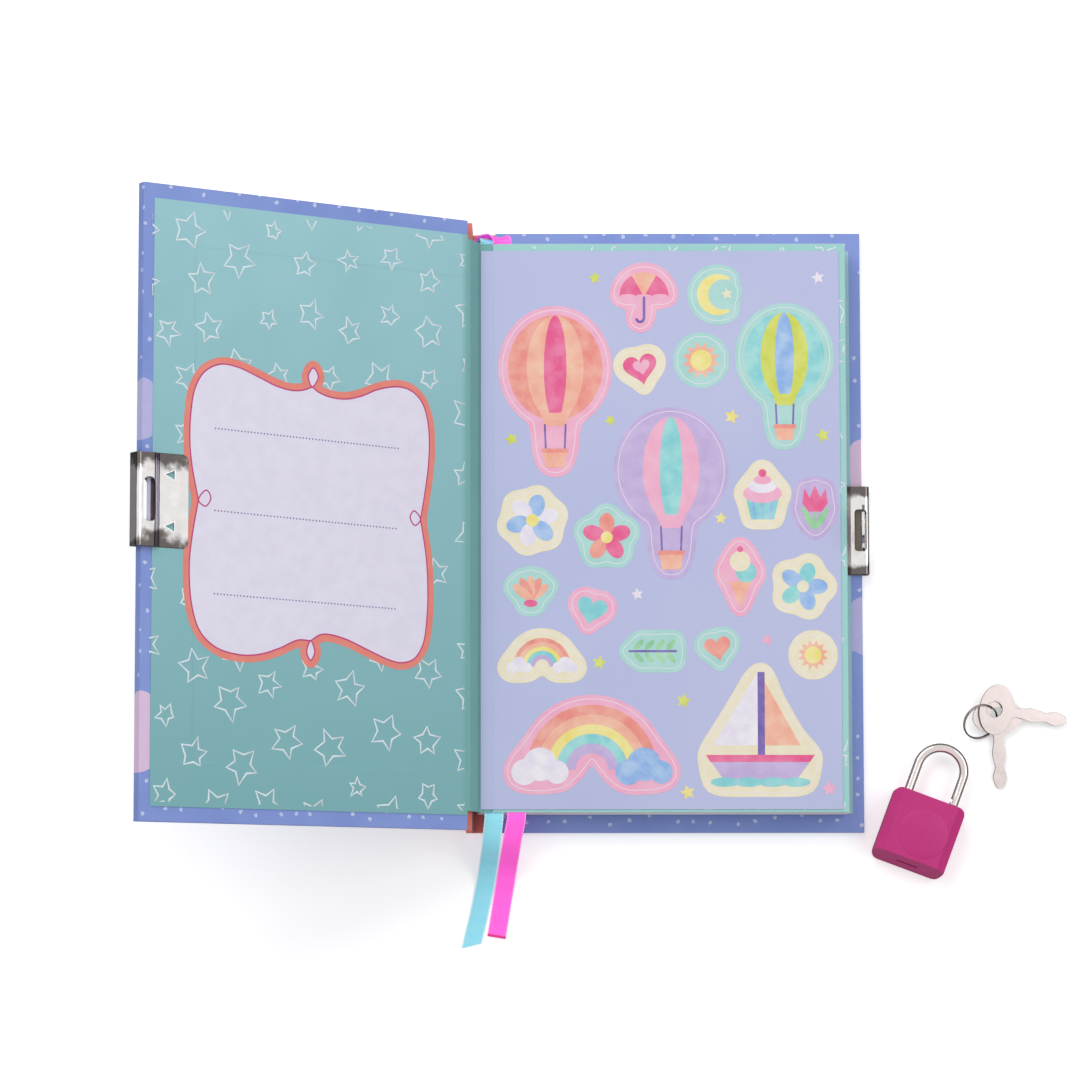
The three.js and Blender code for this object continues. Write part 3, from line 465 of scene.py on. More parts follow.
coverPaper = {
    "colours": ("#7389D3", "#8CA3E0"),
    "dotColour": "#CBD3F2",
    "dotSpacing": 5.6,
    "dotRadius": 0.5,
    "edgeRadius": 0.42,
    # clouds: centre along the developed paper, centre up the cover, size, colour
    "clouds": [
        (106.4, 21, 10, "#BDBAE6"), (106.2, -60, 13, "#E6C6E2"), (60, 48, 15, "#E6C6E2"),
        (28, 6, 12, "#BDBAE6"), (74, -22, 16, "#BDBAE6"), (34, -54, 14, "#E6C6E2"),
    ],
    "backClouds": [
        (106.4, 16, 9, "#E6C6E2"), (106.2, -27, 10, "#BDBAE6"), (52, 52, 14, "#BDBAE6"),
        (40, -8, 15, "#E6C6E2"), (70, -50, 14, "#E6C6E2"),
    ],
    # puffs of one cloud: place and radius as shares of its size
    "puffs": [(0, 0, 0.62), (-0.55, -0.12, 0.45), (0.58, -0.1, 0.42), (0.1, 0.42, 0.42),
              (-0.28, 0.3, 0.36)],
    "puffStretch": 1.25,
}


def onFrontCover(point):
    out = point - frontHinge
    return out.dot(alongFront) / mm + hingeFromSpine, point.y / mm, out.dot(awayFromFront) / mm


def onBackCover(point):
    return (point.x - spineX) / mm, point.y / mm, point.z / mm


# paper printed with a washed blue, small pale dots and soft clouds, under a thin matt film
def printedCoverPaper(name, clouds):
    material, shader, add = newMaterial(name, Roughness=0.48, Coat_Weight=0.15,
                                        Coat_Roughness=0.35)
    paper = add("UVMap", uv_map="paper")
    wash = add("TexNoise", paper, 1 / 14, 5)
    tone = add("Mix", wash, *coverPaper["colours"], data_type="RGBA")
    spots = add("TexVoronoi", paper, 1 / coverPaper["dotSpacing"],
                voronoi_dimensions="2D", Randomness=0.55)
    dotSize = add("Math", add("TexNoise", paper, 1 / 0.9),
                  2 * coverPaper["dotRadius"] / coverPaper["dotSpacing"], operation="MULTIPLY")
    marks = [(add("Math", spots, dotSize, operation="LESS_THAN"), 0.85, coverPaper["dotColour"])]
    for cx, cy, size, colour in clouds:
        nearest = None
        for px, py, share in coverPaper["puffs"]:
            middle = (cx + px * size, cy + py * size * coverPaper["puffStretch"], 0)
            puff = add("VectorMath", paper, middle, operation="DISTANCE")
            gap = add("Math", puff, share * size, operation="SUBTRACT")
            nearest = add("Math", nearest, gap, operation="MINIMUM") if nearest else gap
        marks.append((add("Math", nearest, 0, operation="LESS_THAN"), 0.9, colour))
    for inside, strength, colour in marks:
        share = add("Math", inside, strength, operation="MULTIPLY")
        tone = add("Mix", share, tone, colour, data_type="RGBA")
    wire(shader, Base_Color=tone)
    point = add("TexCoord").outputs["Object"]
    addRelief(shader, point, ((0.5, 3), 0.02, 0.25))  # paper fibre under the film
    return material


def makeCoverWrap(node, name, body, place, material):
    thickness = max(place(v.co)[2] for v in frame["nodes"][node].data.vertices)

    def outerEdge(edge):
        ends = [place(v.co) for v in edge.verts]
        return all(abs(s - coverWidth) < 0.02 or abs(abs(y) - halfHeight) < 0.02
                   for s, y, _ in ends) and edge.calc_length() > 2 * mm

    mesh = roundedCopy(node, name, coverPaper["edgeRadius"], body, "cover_paper", material,
                       segments=4, picked=outerEdge).data
    layer = mesh.uv_layers.new(name="paper")
    along = alongFront if place is onFrontCover else Vector((1, 0, 0))
    away = awayFromFront if place is onFrontCover else Vector((0, 0, 1))
    flatEnough = 0.7
    for face in mesh.polygons:
        normal = face.normal
        flatShare, sideShare = normal.dot(away), abs(normal.dot(along))
        for corner in face.loop_indices:
            s, y, d = place(mesh.vertices[mesh.loops[corner].vertex_index].co)
            if flatShare > flatEnough:
                s = 2 * coverWidth + thickness - s
            elif flatShare > -flatEnough and sideShare > abs(normal.y):
                s += d
            elif flatShare > -flatEnough:
                y += math.copysign(d, y)
            layer.data[corner].uv = (s, y)


makeCoverWrap("front_wrap", "front_cover_paper", "front_cover", onFrontCover,
              printedCoverPaper("blue printed paper, front", coverPaper["clouds"]))
makeCoverWrap("back_wrap", "back_cover_paper", "back_cover", onBackCover,
              printedCoverPaper("blue printed paper, back", coverPaper["backClouds"]))


# plain papers and board: each has its own tone and fibre; dark, light, patch size, roughness

papers = {
    "coral paper": ("#E87A70", "#F0897C", 6, 0.5),
    "grey board": ("#A89C88", "#B9AE9C", 2.5, 0.9),
    "white glued paper": ("#DDD9CF", "#E9E6DF", 5, 0.8),
}
coral, board, lining = [
    washedMaterial(name, (dark, light), size, 5, [((0.4, 3), 0.03, 0.35)], Roughness=rough,
                   Specular_IOR_Level=0.3)
    for name, (dark, light, size, rough) in papers.items()]
dress(coral, "spine_wrap", "back_joint_wrap")
dress(board, "front_board", "back_board", "spine_board")
dress(lining, "spine_lining")


# endpapers: matt uncoated sheets printed teal, with the turned-in paper showing through in relief

endpaper = {
    "colours": ("#95C7CF", "#A6D3DC"),
    "flyleafColours": ("#9BD2CE", "#A9DCD8"),
    # painted shade: the joint strip's darker teal, the pastedown darker in the joint, and darker
    # towards the tail, away from the lamp at the head
    "jointStripShadeColours": ("#75B0AC", "#7FB9B6"),
    "tailShadeColour": "#76AEB2",  # towards the tail
    "tailShadeFromTo": (85, -80),
    "foldShadeColour": "#74AFAC",  # in the joint
    "turnIn": 15,
    "turnInWobble": 1.2,
    "jointEnd": 8.6,
}


def tealEndpaper(name, tones, pasted=False):
    material, shader, add = newMaterial(name, Roughness=0.62, Specular_IOR_Level=0.3)
    origin = frontHinge - alongFront * hingeFromSpine * mm if pasted else Vector((0, 0, 0))
    moved = add("VectorMath", add("TexCoord").outputs["Object"],
                tuple(origin), operation="SUBTRACT")
    turned = add("VectorRotate", moved, rotation_type="Y_AXIS", Angle=openAngle if pasted else 0)
    s, y = add("SeparateXYZ", turned).outputs[:2]
    wash = add("TexNoise", turned, 1 / (18 * mm), 6, grain)
    tone = add("Mix", wash, *tones, data_type="RGBA")
    if pasted:
        head, tail = endpaper["tailShadeFromTo"]
        end = endpaper["jointEnd"]
        # painted shade on the pastedown: darker towards the tail and in the joint
        for value, start, stop, most, colour in ((y, head, tail, 0.85, "tailShadeColour"),
                                                 (s, end + 1.2, end - 0.6, 0.75, "foldShadeColour")):
            share = add("MapRange", value, start * mm, stop * mm, 0, most)
            tone = add("Mix", share, tone, endpaper[colour], data_type="RGBA")
        inwards = add("Math", coverWidth * mm, s, operation="SUBTRACT")
        upwards = add("Math", halfHeight * mm,
                      add("Math", y, operation="ABSOLUTE"), operation="SUBTRACT")
        fromEdge = add("Math", inwards, upwards, operation="MINIMUM")
        wobble = add("TexNoise", turned, 1 / (7 * mm), 2, grain)
        wavy = add("Math", wobble, endpaper["turnInWobble"] * mm, fromEdge,
                   operation="MULTIPLY_ADD")
        step = add("MapRange", wavy, (endpaper["turnIn"] + 0.9) * mm,
                   (endpaper["turnIn"] + 0.3) * mm)
        addRelief(shader, turned, (step, 0.14, 0.7), ((9, 2), 0.25, 0.35))
    wire(shader, Base_Color=tone)
    addRelief(shader, turned, ((0.6, 4), 0.03, 0.4))
    return material


dress(tealEndpaper("teal printed endpaper", endpaper["colours"]), "back_endpaper")
dress(tealEndpaper("teal printed pastedown", endpaper["colours"], True), "front_pastedown")
dress(tealEndpaper("teal printed flyleaf", endpaper["flyleafColours"]), "star_flyleaf")


# the joint of the front cover bends from the spine to the board, so its two strips are smooth

frontJoint = {
    # middle of each strip, millimetres from the spine and up from the table
    "coral_joint": [(1.65, 18.665), (1, 18.77), (0.775, 18.815), (0.56, 18.875), (0.355, 18.96),
                    (0.155, 19.06), (-0.07, 19.185), (-0.19, 19.26), (-0.305, 19.36),
                    (-0.4, 19.47), (-0.485, 19.59), (-0.67, 19.915)],
    "coralThickness": 0.195,
    "coralBend": ((1.65, 18.665), (-0.67, 19.915)),
    "teal_joint": [(6.9, 14.63), (5.2, 14.63), (3.9, 14.63), (3.675, 14.66), (3.505, 14.755),
                   (3.375, 14.905), (3.3, 15.12), (3.1, 16.14), (3.045, 16.38), (2.98, 16.625),
                   (2.91, 16.865), (2.83, 17.1), (1.9, 19.7), (0.97, 22.3), (0.62, 22.42)],
    "tealThickness": 0.18,
    "tealBend": ((3.3, 15.12), (0.97, 22.3)),
    "rows": 24,
}


# a strip of paper along the spine, built round its middle line; the bend's ends are worked out but
# not used
def makeBendingStrip(name, middle, thickness, low, high, rows, bend, material, slot,
                     node=None):
    count = len(middle)
    rings = []
    for j in range(rows + 1):
        y = low + (high - low) * j / rows
        below, above = [], []
        for i, point in enumerate(middle):
            along = middle[min(i + 1, count - 1)] - middle[max(i - 1, 0)]
            out = Vector((-along.z, 0, along.x)).normalized() * thickness / 2
            below.append(book(point.x - out.x, y, point.z - out.z))
            above.append(book(point.x + out.x, y, point.z + out.z))
        rings.append(below + above[::-1])
    piece = newPiece(name, loft(name, rings, 50), None, material, slot=slot, node=node)
    start, end = bend
    tuple(book(start[0], 0, start[1]))
    tuple(book(end[0], 0, end[1]))
    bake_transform(piece)


# the joint strip is in darker teal: painted shade in the recess of the joint
shadedJointPaper = tealEndpaper("teal joint paper in painted shade", endpaper["jointStripShadeColours"])
for colour, node, half, material, slot in (
        ("coral", "front_joint_wrap", halfHeight, coral, "coral_paper"),
        ("teal", "front_joint_endpaper", paperEdge, shadedJointPaper, "teal_endpaper")):
    line = curveThrough([Vector((x, 0, z)) for x, z in frontJoint[f"{colour}_joint"]], 3)
    makeBendingStrip(f"{colour}_joint", line, frontJoint[f"{colour}Thickness"], -half, half,
                     frontJoint["rows"],
                     frontJoint[f"{colour}Bend"], material, slot, node)
print("covers made")


# page block: sections of uncoated paper, ruled, with the sheets showing at the edges as fine lines
# of painted shade between them

pages = {
    "colour": "#F1EFF4",
    "edgeColoursWithGapShade": ("#F2EFF0", "#CFCBD2"),
    "sheetSpacing": 0.28,  # drawn coarser than the real 0.1 mm, so that it shows
    "lineSpacing": 7,
    "lineWidth": 0.28,
    "lineColour": "#B9C4E6",
}


def pagePaper():
    material, shader, add = newMaterial("uncoated page paper", Roughness=0.8,
                                        Specular_IOR_Level=0.25)
    point = add("TexCoord").outputs
    upward = add("SeparateXYZ", point["Normal"]).outputs[2]
    top = add("Math", add("Math", upward, operation="ABSOLUTE"), 0.8, operation="GREATER_THAN")
    sheets = add("TexWave", point["Object"],
                 math.pi / 10 / (pages["sheetSpacing"] * mm), 1.2, 2, 0.4,
                 bands_direction="Z").outputs["Fac"]
    # the darker edge colour is painted shade in the gaps between the sheets
    sides = add("Mix", sheets, *pages["edgeColoursWithGapShade"], data_type="RGBA")
    y = add("SeparateXYZ", point["Object"]).outputs[1]
    upFromTail = add("Math", y, 0.5, operation="ADD")
    step = add("Math", upFromTail, pages["lineSpacing"] / 2 * mm, operation="PINGPONG")
    ruled = add("Math", step, pages["lineWidth"] / 2 * mm, operation="LESS_THAN")
    face = add("Mix", ruled, pages["colour"], pages["lineColour"], data_type="RGBA")
    wire(shader, Base_Color=add("Mix", top, sides, face, data_type="RGBA"))
    side = add("Math", 1, top, operation="SUBTRACT")
    lines = add("Math", sheets, side, operation="MULTIPLY")
    addRelief(shader, point["Object"], (lines, 0.08, 0.8), ((0.5, 3), 0.02, 0.4))
    return material


dress(pagePaper(), *[f"signature_{number}" for number in range(1, 7)])


# sticker sheet: coated paper printed lilac blue, smooth enough to shine a little

sheet = {
    "tones": ("#B4BBE2", "#C2C6E8"),
    "foldColumns": 10,
    "foldRows": 12,
    "foldInset": 0.01,  # thinner than the sheet, so that it ends inside it
    "foldOverlap": 0.1,
}
sheetPaper = washedMaterial("gloss coated sticker sheet", sheet["tones"], 40, 2,
                            [((25, 1), 0.25, 0.3), ((0.7, 2), 0.01, 0.3)],
                            Roughness=0.32, Coat_Weight=0.25, Coat_Roughness=0.2)
dress(sheetPaper, "sticker_sheet", "sheet_glue_strip")


# the sheet is one leaf: this fold runs from its glued edge to the part that turns
def makeSheetFold():
    (x0, y0, z0), (_, y1, z1) = [[v / mm for v in corner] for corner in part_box("sticker_sheet")]
    start = (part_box("sheet_glue_strip")[1][0] - spineX) / mm - sheet["foldOverlap"]
    end = x0 - spineX / mm - 0.02
    middle, inset, columns = (z0 + z1) / 2, sheet["foldInset"], sheet["foldColumns"]
    line = [Vector((start + (end - start) * i / columns, 0, middle)) for i in range(columns + 1)]
    bend = (start + sheet["foldOverlap"], middle), (end - sheet["foldOverlap"], middle)
    makeBendingStrip("sticker_sheet_fold", line, z1 - z0 - 2 * inset, y0 + inset, y1 - inset,
                     sheet["foldRows"], bend, sheetPaper,
                     "sticker_paper")


makeSheetFold()
print("paper made")


# prints and stickers are thin closed slabs; outlines are lists of (x, y), prints in millimetres

def placed(ring, x=0, y=0, turn=0, size=1):
    c, s = math.cos(math.radians(turn)) * size, math.sin(math.radians(turn)) * size
    return [(x + a * c - b * s, y + a * s + b * c) for a, b in ring]


def polar(radius, degrees):
    return radius * math.cos(math.radians(degrees)), radius * math.sin(math.radians(degrees))


def ellipse(x, y, rx, ry=0, turn=0, count=26):
    ring = [polar(1, 360 * k / count) for k in range(count)]
    return placed([(rx * a, (ry or rx) * b) for a, b in ring], x, y, turn)


def starShape(x, y, radius, turn=0, inner=0.46):
    return placed([polar(radius * (inner if k % 2 else 1), turn + 90 + 36 * k)
                   for k in range(10)], x, y)


def heart(x, y, size, turn=0):
    ring = []
    for k in range(30):
        t = 2 * math.pi * k / 30
        ring.append((16 * math.sin(t) ** 3, 13 * math.cos(t) - 5 * math.cos(2 * t)
                     - 2 * math.cos(3 * t) - math.cos(4 * t)))
    return placed(ring, x, y, turn, size / 32)


def arch(x, y, outer, inner, start=0, end=180, count=20):
    angles = [start + (end - start) * k / count for k in range(count + 1)]
    return placed([polar(outer, a) for a in angles]
                  + [polar(inner, a) for a in reversed(angles)], x, y)


# four corners about an upright line, with half the width at the top and at the bottom
def taper(top, bottom, high, low, x=0):
    return [(x - top, high), (x + top, high), (x + bottom, low), (x - bottom, low)]


def smoothLine(points, steps=6):
    return [(p.x, p.y) for p in curveThrough([Vector((*p, 0)) for p in points], steps)]


def smoothRing(points, steps=6):
    return smoothLine([points[-1], *points, points[0], points[1]], steps)[steps:-(steps + 1)]


# the outline that runs a set distance outside some shapes, as seen from their middle
def borderAround(shapes, distance, count=72, relax=2):
    edges = np.array([(*a, *b) for ring in shapes for a, b in zip(ring, ring[1:] + ring[:1])])
    middle = (edges[:, :2].min(0) + edges[:, :2].max(0)) / 2
    reach = np.abs(edges[:, :2] - middle).max() * 1.45 + distance
    radii = np.linspace(0.2, reach, 260)
    start, run = edges[:, :2], edges[:, 2:] - edges[:, :2]
    squared = np.maximum((run ** 2).sum(1), 1e-9)
    rays = [np.array(polar(1, 360 * k / count)) for k in range(count)]
    found = []
    for ray in rays:
        rel = (middle + radii[:, None] * ray)[:, None, :] - start
        t = np.clip((rel * run).sum(2) / squared, 0, 1)
        gap = np.sqrt(((rel - t[..., None] * run) ** 2).sum(2)).min(1)
        near = np.nonzero(gap <= distance)[0]
        found.append(radii[near[-1]] if len(near) else distance)
    found = np.array(found)
    for _ in range(relax):
        found = np.maximum(found, (np.roll(found, 1) + np.roll(found, -1)) / 2)
        found = (np.roll(found, 1) + 2 * found + np.roll(found, -1)) / 4
    return [tuple(middle + radius * ray) for radius, ray in zip(found, rays)]


# printed inks: flat offset colour with the uneven wash of watercolour
def printedInk(name, *tones):
    return washedMaterial(f"{name} ink", tones, 4, 3, [((0.5, 2), 0.01, 0.3)],
                          contrast=(0.35, 0.65), Roughness=0.45, Specular_IOR_Level=0.4)


inks = {name: printedInk(name, *tones) for name, tones in {
    "plate": ("#E8E4F5", "#E3DFF1"), "coral": ("#EB8C7E", "#E98376"),
    "crimson": ("#BE2F7C", "#C93B86"), "violet": ("#6A5A9C", "#7464A6"),
    "star": ("#DDEAF0", "#E6F0F4"), "mint": ("#A9D8D2", "#B5DEDA"),
    "pink": ("#F2ADCA", "#F4BBD3"), "cream": ("#EDE3C4", "#F2EAD2"),
    "lilac": ("#C3AEDC", "#CDBBE3"), "rose": ("#E8588F", "#EE7FA8"),
    "peach": ("#F3AE98", "#F7C6AE"), "salmon": ("#EE8F86", "#F3AFA0"),
    "yellow": ("#F0DF7C", "#F5EAA4"), "lime": ("#CDD64F", "#DDE27A"),
    "aqua": ("#83CFD6", "#A6E0DE"), "sky": ("#8DB4E8", "#B2CDF0"),
    "plum": ("#6E5CA8", "#8D79C2"), "white": ("#F4F0F6", "#E8E0F0"),
    "green": ("#8CCB9A", "#B4DEB2"), "teal": ("#86BCBF", "#7DB4B8"),
    # slot shade is not print: it is painted shade on the wall of the plate's slot
    "edge lilac": ("#CFCBE4", "#C4C4E0"), "slot shade": ("#5E4C56", "#4C3E48"),
}.items()}


class Print:
    sunk = -0.02  # how far a slab goes into what it lies on

    def __init__(self, name, body, place, slot):
        self.name, self.body, self.place, self.slot = name, body, place, slot
        self.verts, self.faces, self.slots, self.inks = [], [], [], []

    def add(self, rings, ink, runsRound=False):
        if ink not in self.inks:
            self.inks.append(ink)
        faces = skinFaces(len(rings), len(rings[0]), len(self.verts), runsRound)
        self.verts += [self.place(*point) for ring in rings for point in ring]
        self.faces += faces
        self.slots += [self.inks.index(ink)] * len(faces)

    def fill(self, outline, ink, height, base=sunk):
        self.add([[(x, y, level) for x, y in outline] for level in (base, height)], ink)

    def stroke(self, line, width, ink, height, closed=False, base=sunk):
        rings, count = [], len(line)
        for k, (x, y) in enumerate(line):
            before = line[k - 1] if closed else line[max(k - 1, 0)]
            after = line[(k + 1) % count] if closed else line[min(k + 1, count - 1)]
            dx, dy = after[0] - before[0], after[1] - before[1]
            half = width / 2 / (math.hypot(dx, dy) or 1)
            rings.append([(x - dy * half * side, y + dx * half * side, level)
                          for side, level in ((1, base), (-1, base), (-1, height), (1, height))])
        self.add(rings, ink, closed)

    def make(self):
        mesh = meshFrom(self.name, self.verts, self.faces, self.slots)
        outwards(mesh)
        newPiece(self.name, mesh, self.body, *[inks[i] for i in self.inks], slot=self.slot)


# name plate on the pastedown: a pale lilac panel in a looped crimson line with a coral border

namePlate = {
    "border": 1.9,
    "lineWidth": 0.36,
    # the line from the left pinch by the head to the right pinch, and back by the tail
    "sides": [
        [(88.8, 0.7), (90.7, 9.2), (91.4, 15.5), (91.1, 23.3), (89.9, 29.2), (87.3, 33.3),
         (82.7, 35.6), (77.7, 35.3), (71.6, 33.3), (66.3, 31.4), (61.4, 30.6), (58, 31),
         (55.5, 32)],
        [(55.5, 32), (53.4, 30.7), (49.5, 29.7), (44.9, 29.7), (40.3, 30.9), (35.6, 32.9),
         (29.3, 34.1), (25.4, 33.4), (22.2, 30.9), (20.4, 26.7), (19.7, 20.8), (20, 14.1),
         (21, 7.3), (22.4, 0)],
        [(22.4, 0), (20.7, -9.2), (20.1, -17), (20.3, -24.8), (21.6, -32.6), (24.4, -36.4),
         (28.1, -37.5), (31.7, -37), (37.8, -34.9), (45.1, -32.2), (50.5, -31.2), (52.9, -31.5),
         (55.6, -33.1)],
        [(55.6, -33.1), (59.4, -33.1), (64.8, -35.4), (70.6, -37.2), (76.5, -37.6),
         (83.5, -36), (88.1, -32.2), (90.5, -25.8), (91.3, -15.8), (90.5, -8.2), (88.8, 0.7)],
    ],
    "outerLoops": [[(55.5, 32), (56.7, 34.6), (55.2, 36.9), (53.7, 34.8)],
                   [(55.6, -33.1), (56.8, -36), (55.6, -38.1), (54.4, -35.9)]],
    "innerLoops": [[(88.8, 0.7), (86.5, 3.4), (85.2, 1.6), (86.7, -0.7)],
                   [(22.4, 0), (24.4, 2.1), (25.6, 0.3), (24.1, -1.7)]],
    # dotted writing lines: left end, right end
    "lines": [((84, 19.2), (29.4, 18)), ((84, -1.6), (30, -2.9)), ((84, -22.6), (30.2, -23.7))],
    "dotSpacing": 0.95,
    "dotRadius": 0.22,
    # heights of the layers, each just above the one that it crosses
    "borderHeight": 0.03,
    "loopBorderHeight": 0.034,
    "panelHeight": 0.045,
    "loopPanelHeight": 0.05,
    "lineHeight": 0.06,
    "loopLineHeights": (0.064, 0.066, 0.068, 0.07),
}


def makeNamePlate():
    plate = Print("name_plate_print", "front_cover", onFront, "teal_endpaper")
    border, width, top = (namePlate[key] for key in ("border", "lineWidth", "lineHeight"))
    sides = [smoothLine(side) for side in namePlate["sides"]]
    outline = [p for side in sides for p in side[:-1]]
    loops = [smoothRing(loop) for loop in namePlate["outerLoops"]]
    plate.fill(borderAround([outline], border, 240, 1), "coral", namePlate["borderHeight"])
    for loop in loops:
        plate.fill(borderAround([loop], border, 60, 0), "coral", namePlate["loopBorderHeight"])
    plate.fill(outline, "plate", namePlate["panelHeight"])
    for loop in loops:
        plate.fill(loop, "plate", namePlate["loopPanelHeight"])
    for side in sides:
        plate.stroke(side, width, "crimson", top)
    loops += [smoothRing(loop) for loop in namePlate["innerLoops"]]
    for loop, height in zip(loops, namePlate["loopLineHeights"]):
        plate.stroke(loop, width, "crimson", height, closed=True)
    for (x0, y0), (x1, y1) in namePlate["lines"]:
        count = int(math.hypot(x1 - x0, y1 - y0) / namePlate["dotSpacing"])
        for k in range(count + 1):
            plate.fill(ellipse(x0 + (x1 - x0) * k / count, y0 + (y1 - y0) * k / count,
                               namePlate["dotRadius"], count=8), "violet", top)
    plate.make()


makeNamePlate()


# outlined stars printed on the endpapers, spread by geometry nodes

starPrint = {
    "spacing": 12.0,
    "smallest": 2.6,
    "largest": 5.1,
    "lineWidth": 0.58,
    "innerShare": 0.5,
    "wobble": 1.75,
    "wobbleScale": 0.45,
    "height": 0.02,
    "density": 0.08,
    "cell": 3.0,
    # edges of the printed areas from the spine and along it, and seeds
    "pastedown": (8.6, 102.6, -paperEdge, paperEdge, 5),
    "flyleaf": (8, 100, -74.5, 74.5, 9),
}
starInputs = {
    "Geometry": ("NodeSocketGeometry", None),
    "Spacing": ("NodeSocketFloat", "spacing"),
    "Smallest": ("NodeSocketFloat", "smallest"),
    "Largest": ("NodeSocketFloat", "largest"),
    "Line Width": ("NodeSocketFloat", "lineWidth"),
    "Seed": ("NodeSocketInt", None),
    "Ink": ("NodeSocketMaterial", None),
}


def starField():
    tree = bpy.data.node_groups.new("star field", "GeometryNodeTree")
    add = functools.partial(addNode, tree)
    for name, (kind, _) in starInputs.items():
        tree.interface.new_socket(name, in_out="INPUT", socket_type=kind)
    tree.interface.new_socket("Geometry", in_out="OUTPUT", socket_type="NodeSocketGeometry")
    given = add("NodeGroupInput").outputs
    seed = given["Seed"]
    points = add("GeometryNodeDistributePointsOnFaces", distribute_method="POISSON",
                 Mesh=given["Geometry"], Distance_Min=given["Spacing"],
                 Density_Max=starPrint["density"], Seed=seed)
    star = add("GeometryNodeCurveStar", 5, starPrint["innerShare"], 1)
    size = add("FunctionNodeRandomValue", given["Smallest"], given["Largest"],
               data_type="FLOAT", Seed=seed)
    turn = add("FunctionNodeRandomValue", 0, 2 * math.pi, data_type="FLOAT", Seed=3)
    stars = add("GeometryNodeInstanceOnPoints", Points=points, Instance=star,
                Rotation=add("CombineXYZ", Z=turn), Scale=size)
    rough = add("TexNoise", Scale=starPrint["wobbleScale"], Detail=0).outputs["Color"]
    centred = add("VectorMath", rough, (0.5, 0.5, 0.5), operation="SUBTRACT")
    flatOnly = add("VectorMath", centred,
                   (starPrint["wobble"], starPrint["wobble"], 0), operation="MULTIPLY")
    drawn = add("GeometryNodeSetPosition", add("GeometryNodeRealizeInstances", stars),
                Offset=flatOnly)
    pen = add("GeometryNodeCurvePrimitiveQuadrilateral", given["Line Width"],
              starPrint["height"] * 2)
    solid = add("GeometryNodeRealizeInstances", add("GeometryNodeCurveToMesh", drawn, pen))
    add("NodeGroupOutput", add("GeometryNodeSetMaterial", solid, Material=given["Ink"]))
    return tree


starTree = starField()


# stars over a rectangle, cut off at its edges as the printed sheet is trimmed
def scatterStars(name, body, place, x0, x1, y0, y1, seed, keepOff=None):
    cell = starPrint["cell"]
    cells = [(x, y) for x in np.arange(x0 - cell, x1 + cell, cell)
             for y in np.arange(y0 - cell, y1 + cell, cell)
             if not (keepOff and keepOff(x + cell / 2, y + cell / 2))]
    corners = [(x + a * cell, y + b * cell, 0) for x, y in cells
               for a, b in ((0, 0), (1, 0), (1, 1), (0, 1))]
    faces = [tuple(range(4 * k, 4 * k + 4)) for k in range(len(cells))]
    holder = newPiece(name + "_base", meshFrom(name + "_base", corners, faces), None)
    spread = holder.modifiers.new("stars", "NODES")
    spread.node_group = starTree
    named = {item.name: item.identifier for item in starTree.interface.items_tree
             if item.in_out == "INPUT"}
    for label, (_, key) in starInputs.items():
        if key:
            spread[named[label]] = float(starPrint[key])
    spread[named["Seed"]] = seed
    spread[named["Ink"]] = inks["star"]
    bpy.context.view_layer.update()
    found = holder.evaluated_get(bpy.context.evaluated_depsgraph_get())
    mesh = bpy.data.meshes.new_from_object(found)
    bpy.data.objects.remove(holder)
    built = bmesh.new()
    built.from_mesh(mesh)
    bmesh.ops.remove_doubles(built, verts=built.verts, dist=0.001)
    for at, normal in (((x0, 0, 0), (-1, 0, 0)), ((x1, 0, 0), (1, 0, 0)),
                       ((0, y0, 0), (0, -1, 0)), ((0, y1, 0), (0, 1, 0))):
        bmesh.ops.bisect_plane(built, geom=[*built.verts, *built.edges, *built.faces],
                               plane_co=at, plane_no=normal, clear_outer=True)
        bmesh.ops.holes_fill(built, edges=[e for e in built.edges if e.is_boundary])
    for vertex in built.verts:
        vertex.co = place(*vertex.co)
    bmesh.ops.recalc_face_normals(built, faces=built.faces)
    built.to_mesh(mesh)
    built.free()
    mesh.name = name
    newPiece(name, mesh, body, slot="teal_endpaper")


def nearPlate(x, y):
    onPanel = 19 < x < 91 and -37 < y < 34
    underHasp = x > 88 and abs(y) < 15
    return onPanel or underHasp


scatterStars("pastedown_stars", "front_cover", onFront, *starPrint["pastedown"], nearPlate)
scatterStars("flyleaf_stars", "flyleaf", onTopOf("star_flyleaf"), *starPrint["flyleaf"])
print("prints made")


# stickers, kiss cut in the sheet: each has a coloured border and a picture of its own

stickers = {
    "borderWidth": 2.6,
    "cutLine": 1.5,
    "cutWidth": 0.16,
    "height": 0.05,
    "cutRise": 0.006,
    "pictureRise": 0.012,
    "layerRise": 0.004,
    "starSizes": (1.6, 2.2),
    "starSeed": 4,
}


# each picture is drawn one unit wide, and w is a millimetre at its printed size

def balloon(w, outer, middle, inner):
    ropes = [[(side * 0.1, -0.6), (side * (0.1 + w / 2), -0.6), (side * (0.09 + w / 2), -0.86),
              (side * 0.09, -0.86)] for side in (-1, 1)]
    return [(ellipse(0, 0, 0.5, 0.56, count=40), outer), (ellipse(0, 0, 0.3, 0.56), middle),
            (ellipse(0, 0, 0.12, 0.56), inner), (taper(0.16, 0.1, w - 0.52, -0.62), middle),
            *[(rope, "plum") for rope in ropes], (taper(0.13, 0.1, -0.86, -1.06), "peach"),
            (taper(0.14, 0.14, -0.86, -0.86 - 1.1 * w), "salmon")]


def rainbow(w, left, right):
    bands = ("salmon", "peach", "yellow", "aqua", "lilac")
    width = 0.075
    shapes = [(arch(0, 0, 0.5 - width * k, 0.5 - width * (k + 1) + 0.02 * w), ink)
              for k, ink in enumerate(bands)]
    puffs = ((-0.12, -0.02, 0.1), (0.13, -0.02, 0.09), (0, 0.04, 0.13))
    return shapes + [(ellipse(side * 0.4 + x, y, r), ink)
                     for side, ink in ((-1, left), (1, right)) for x, y, r in puffs]


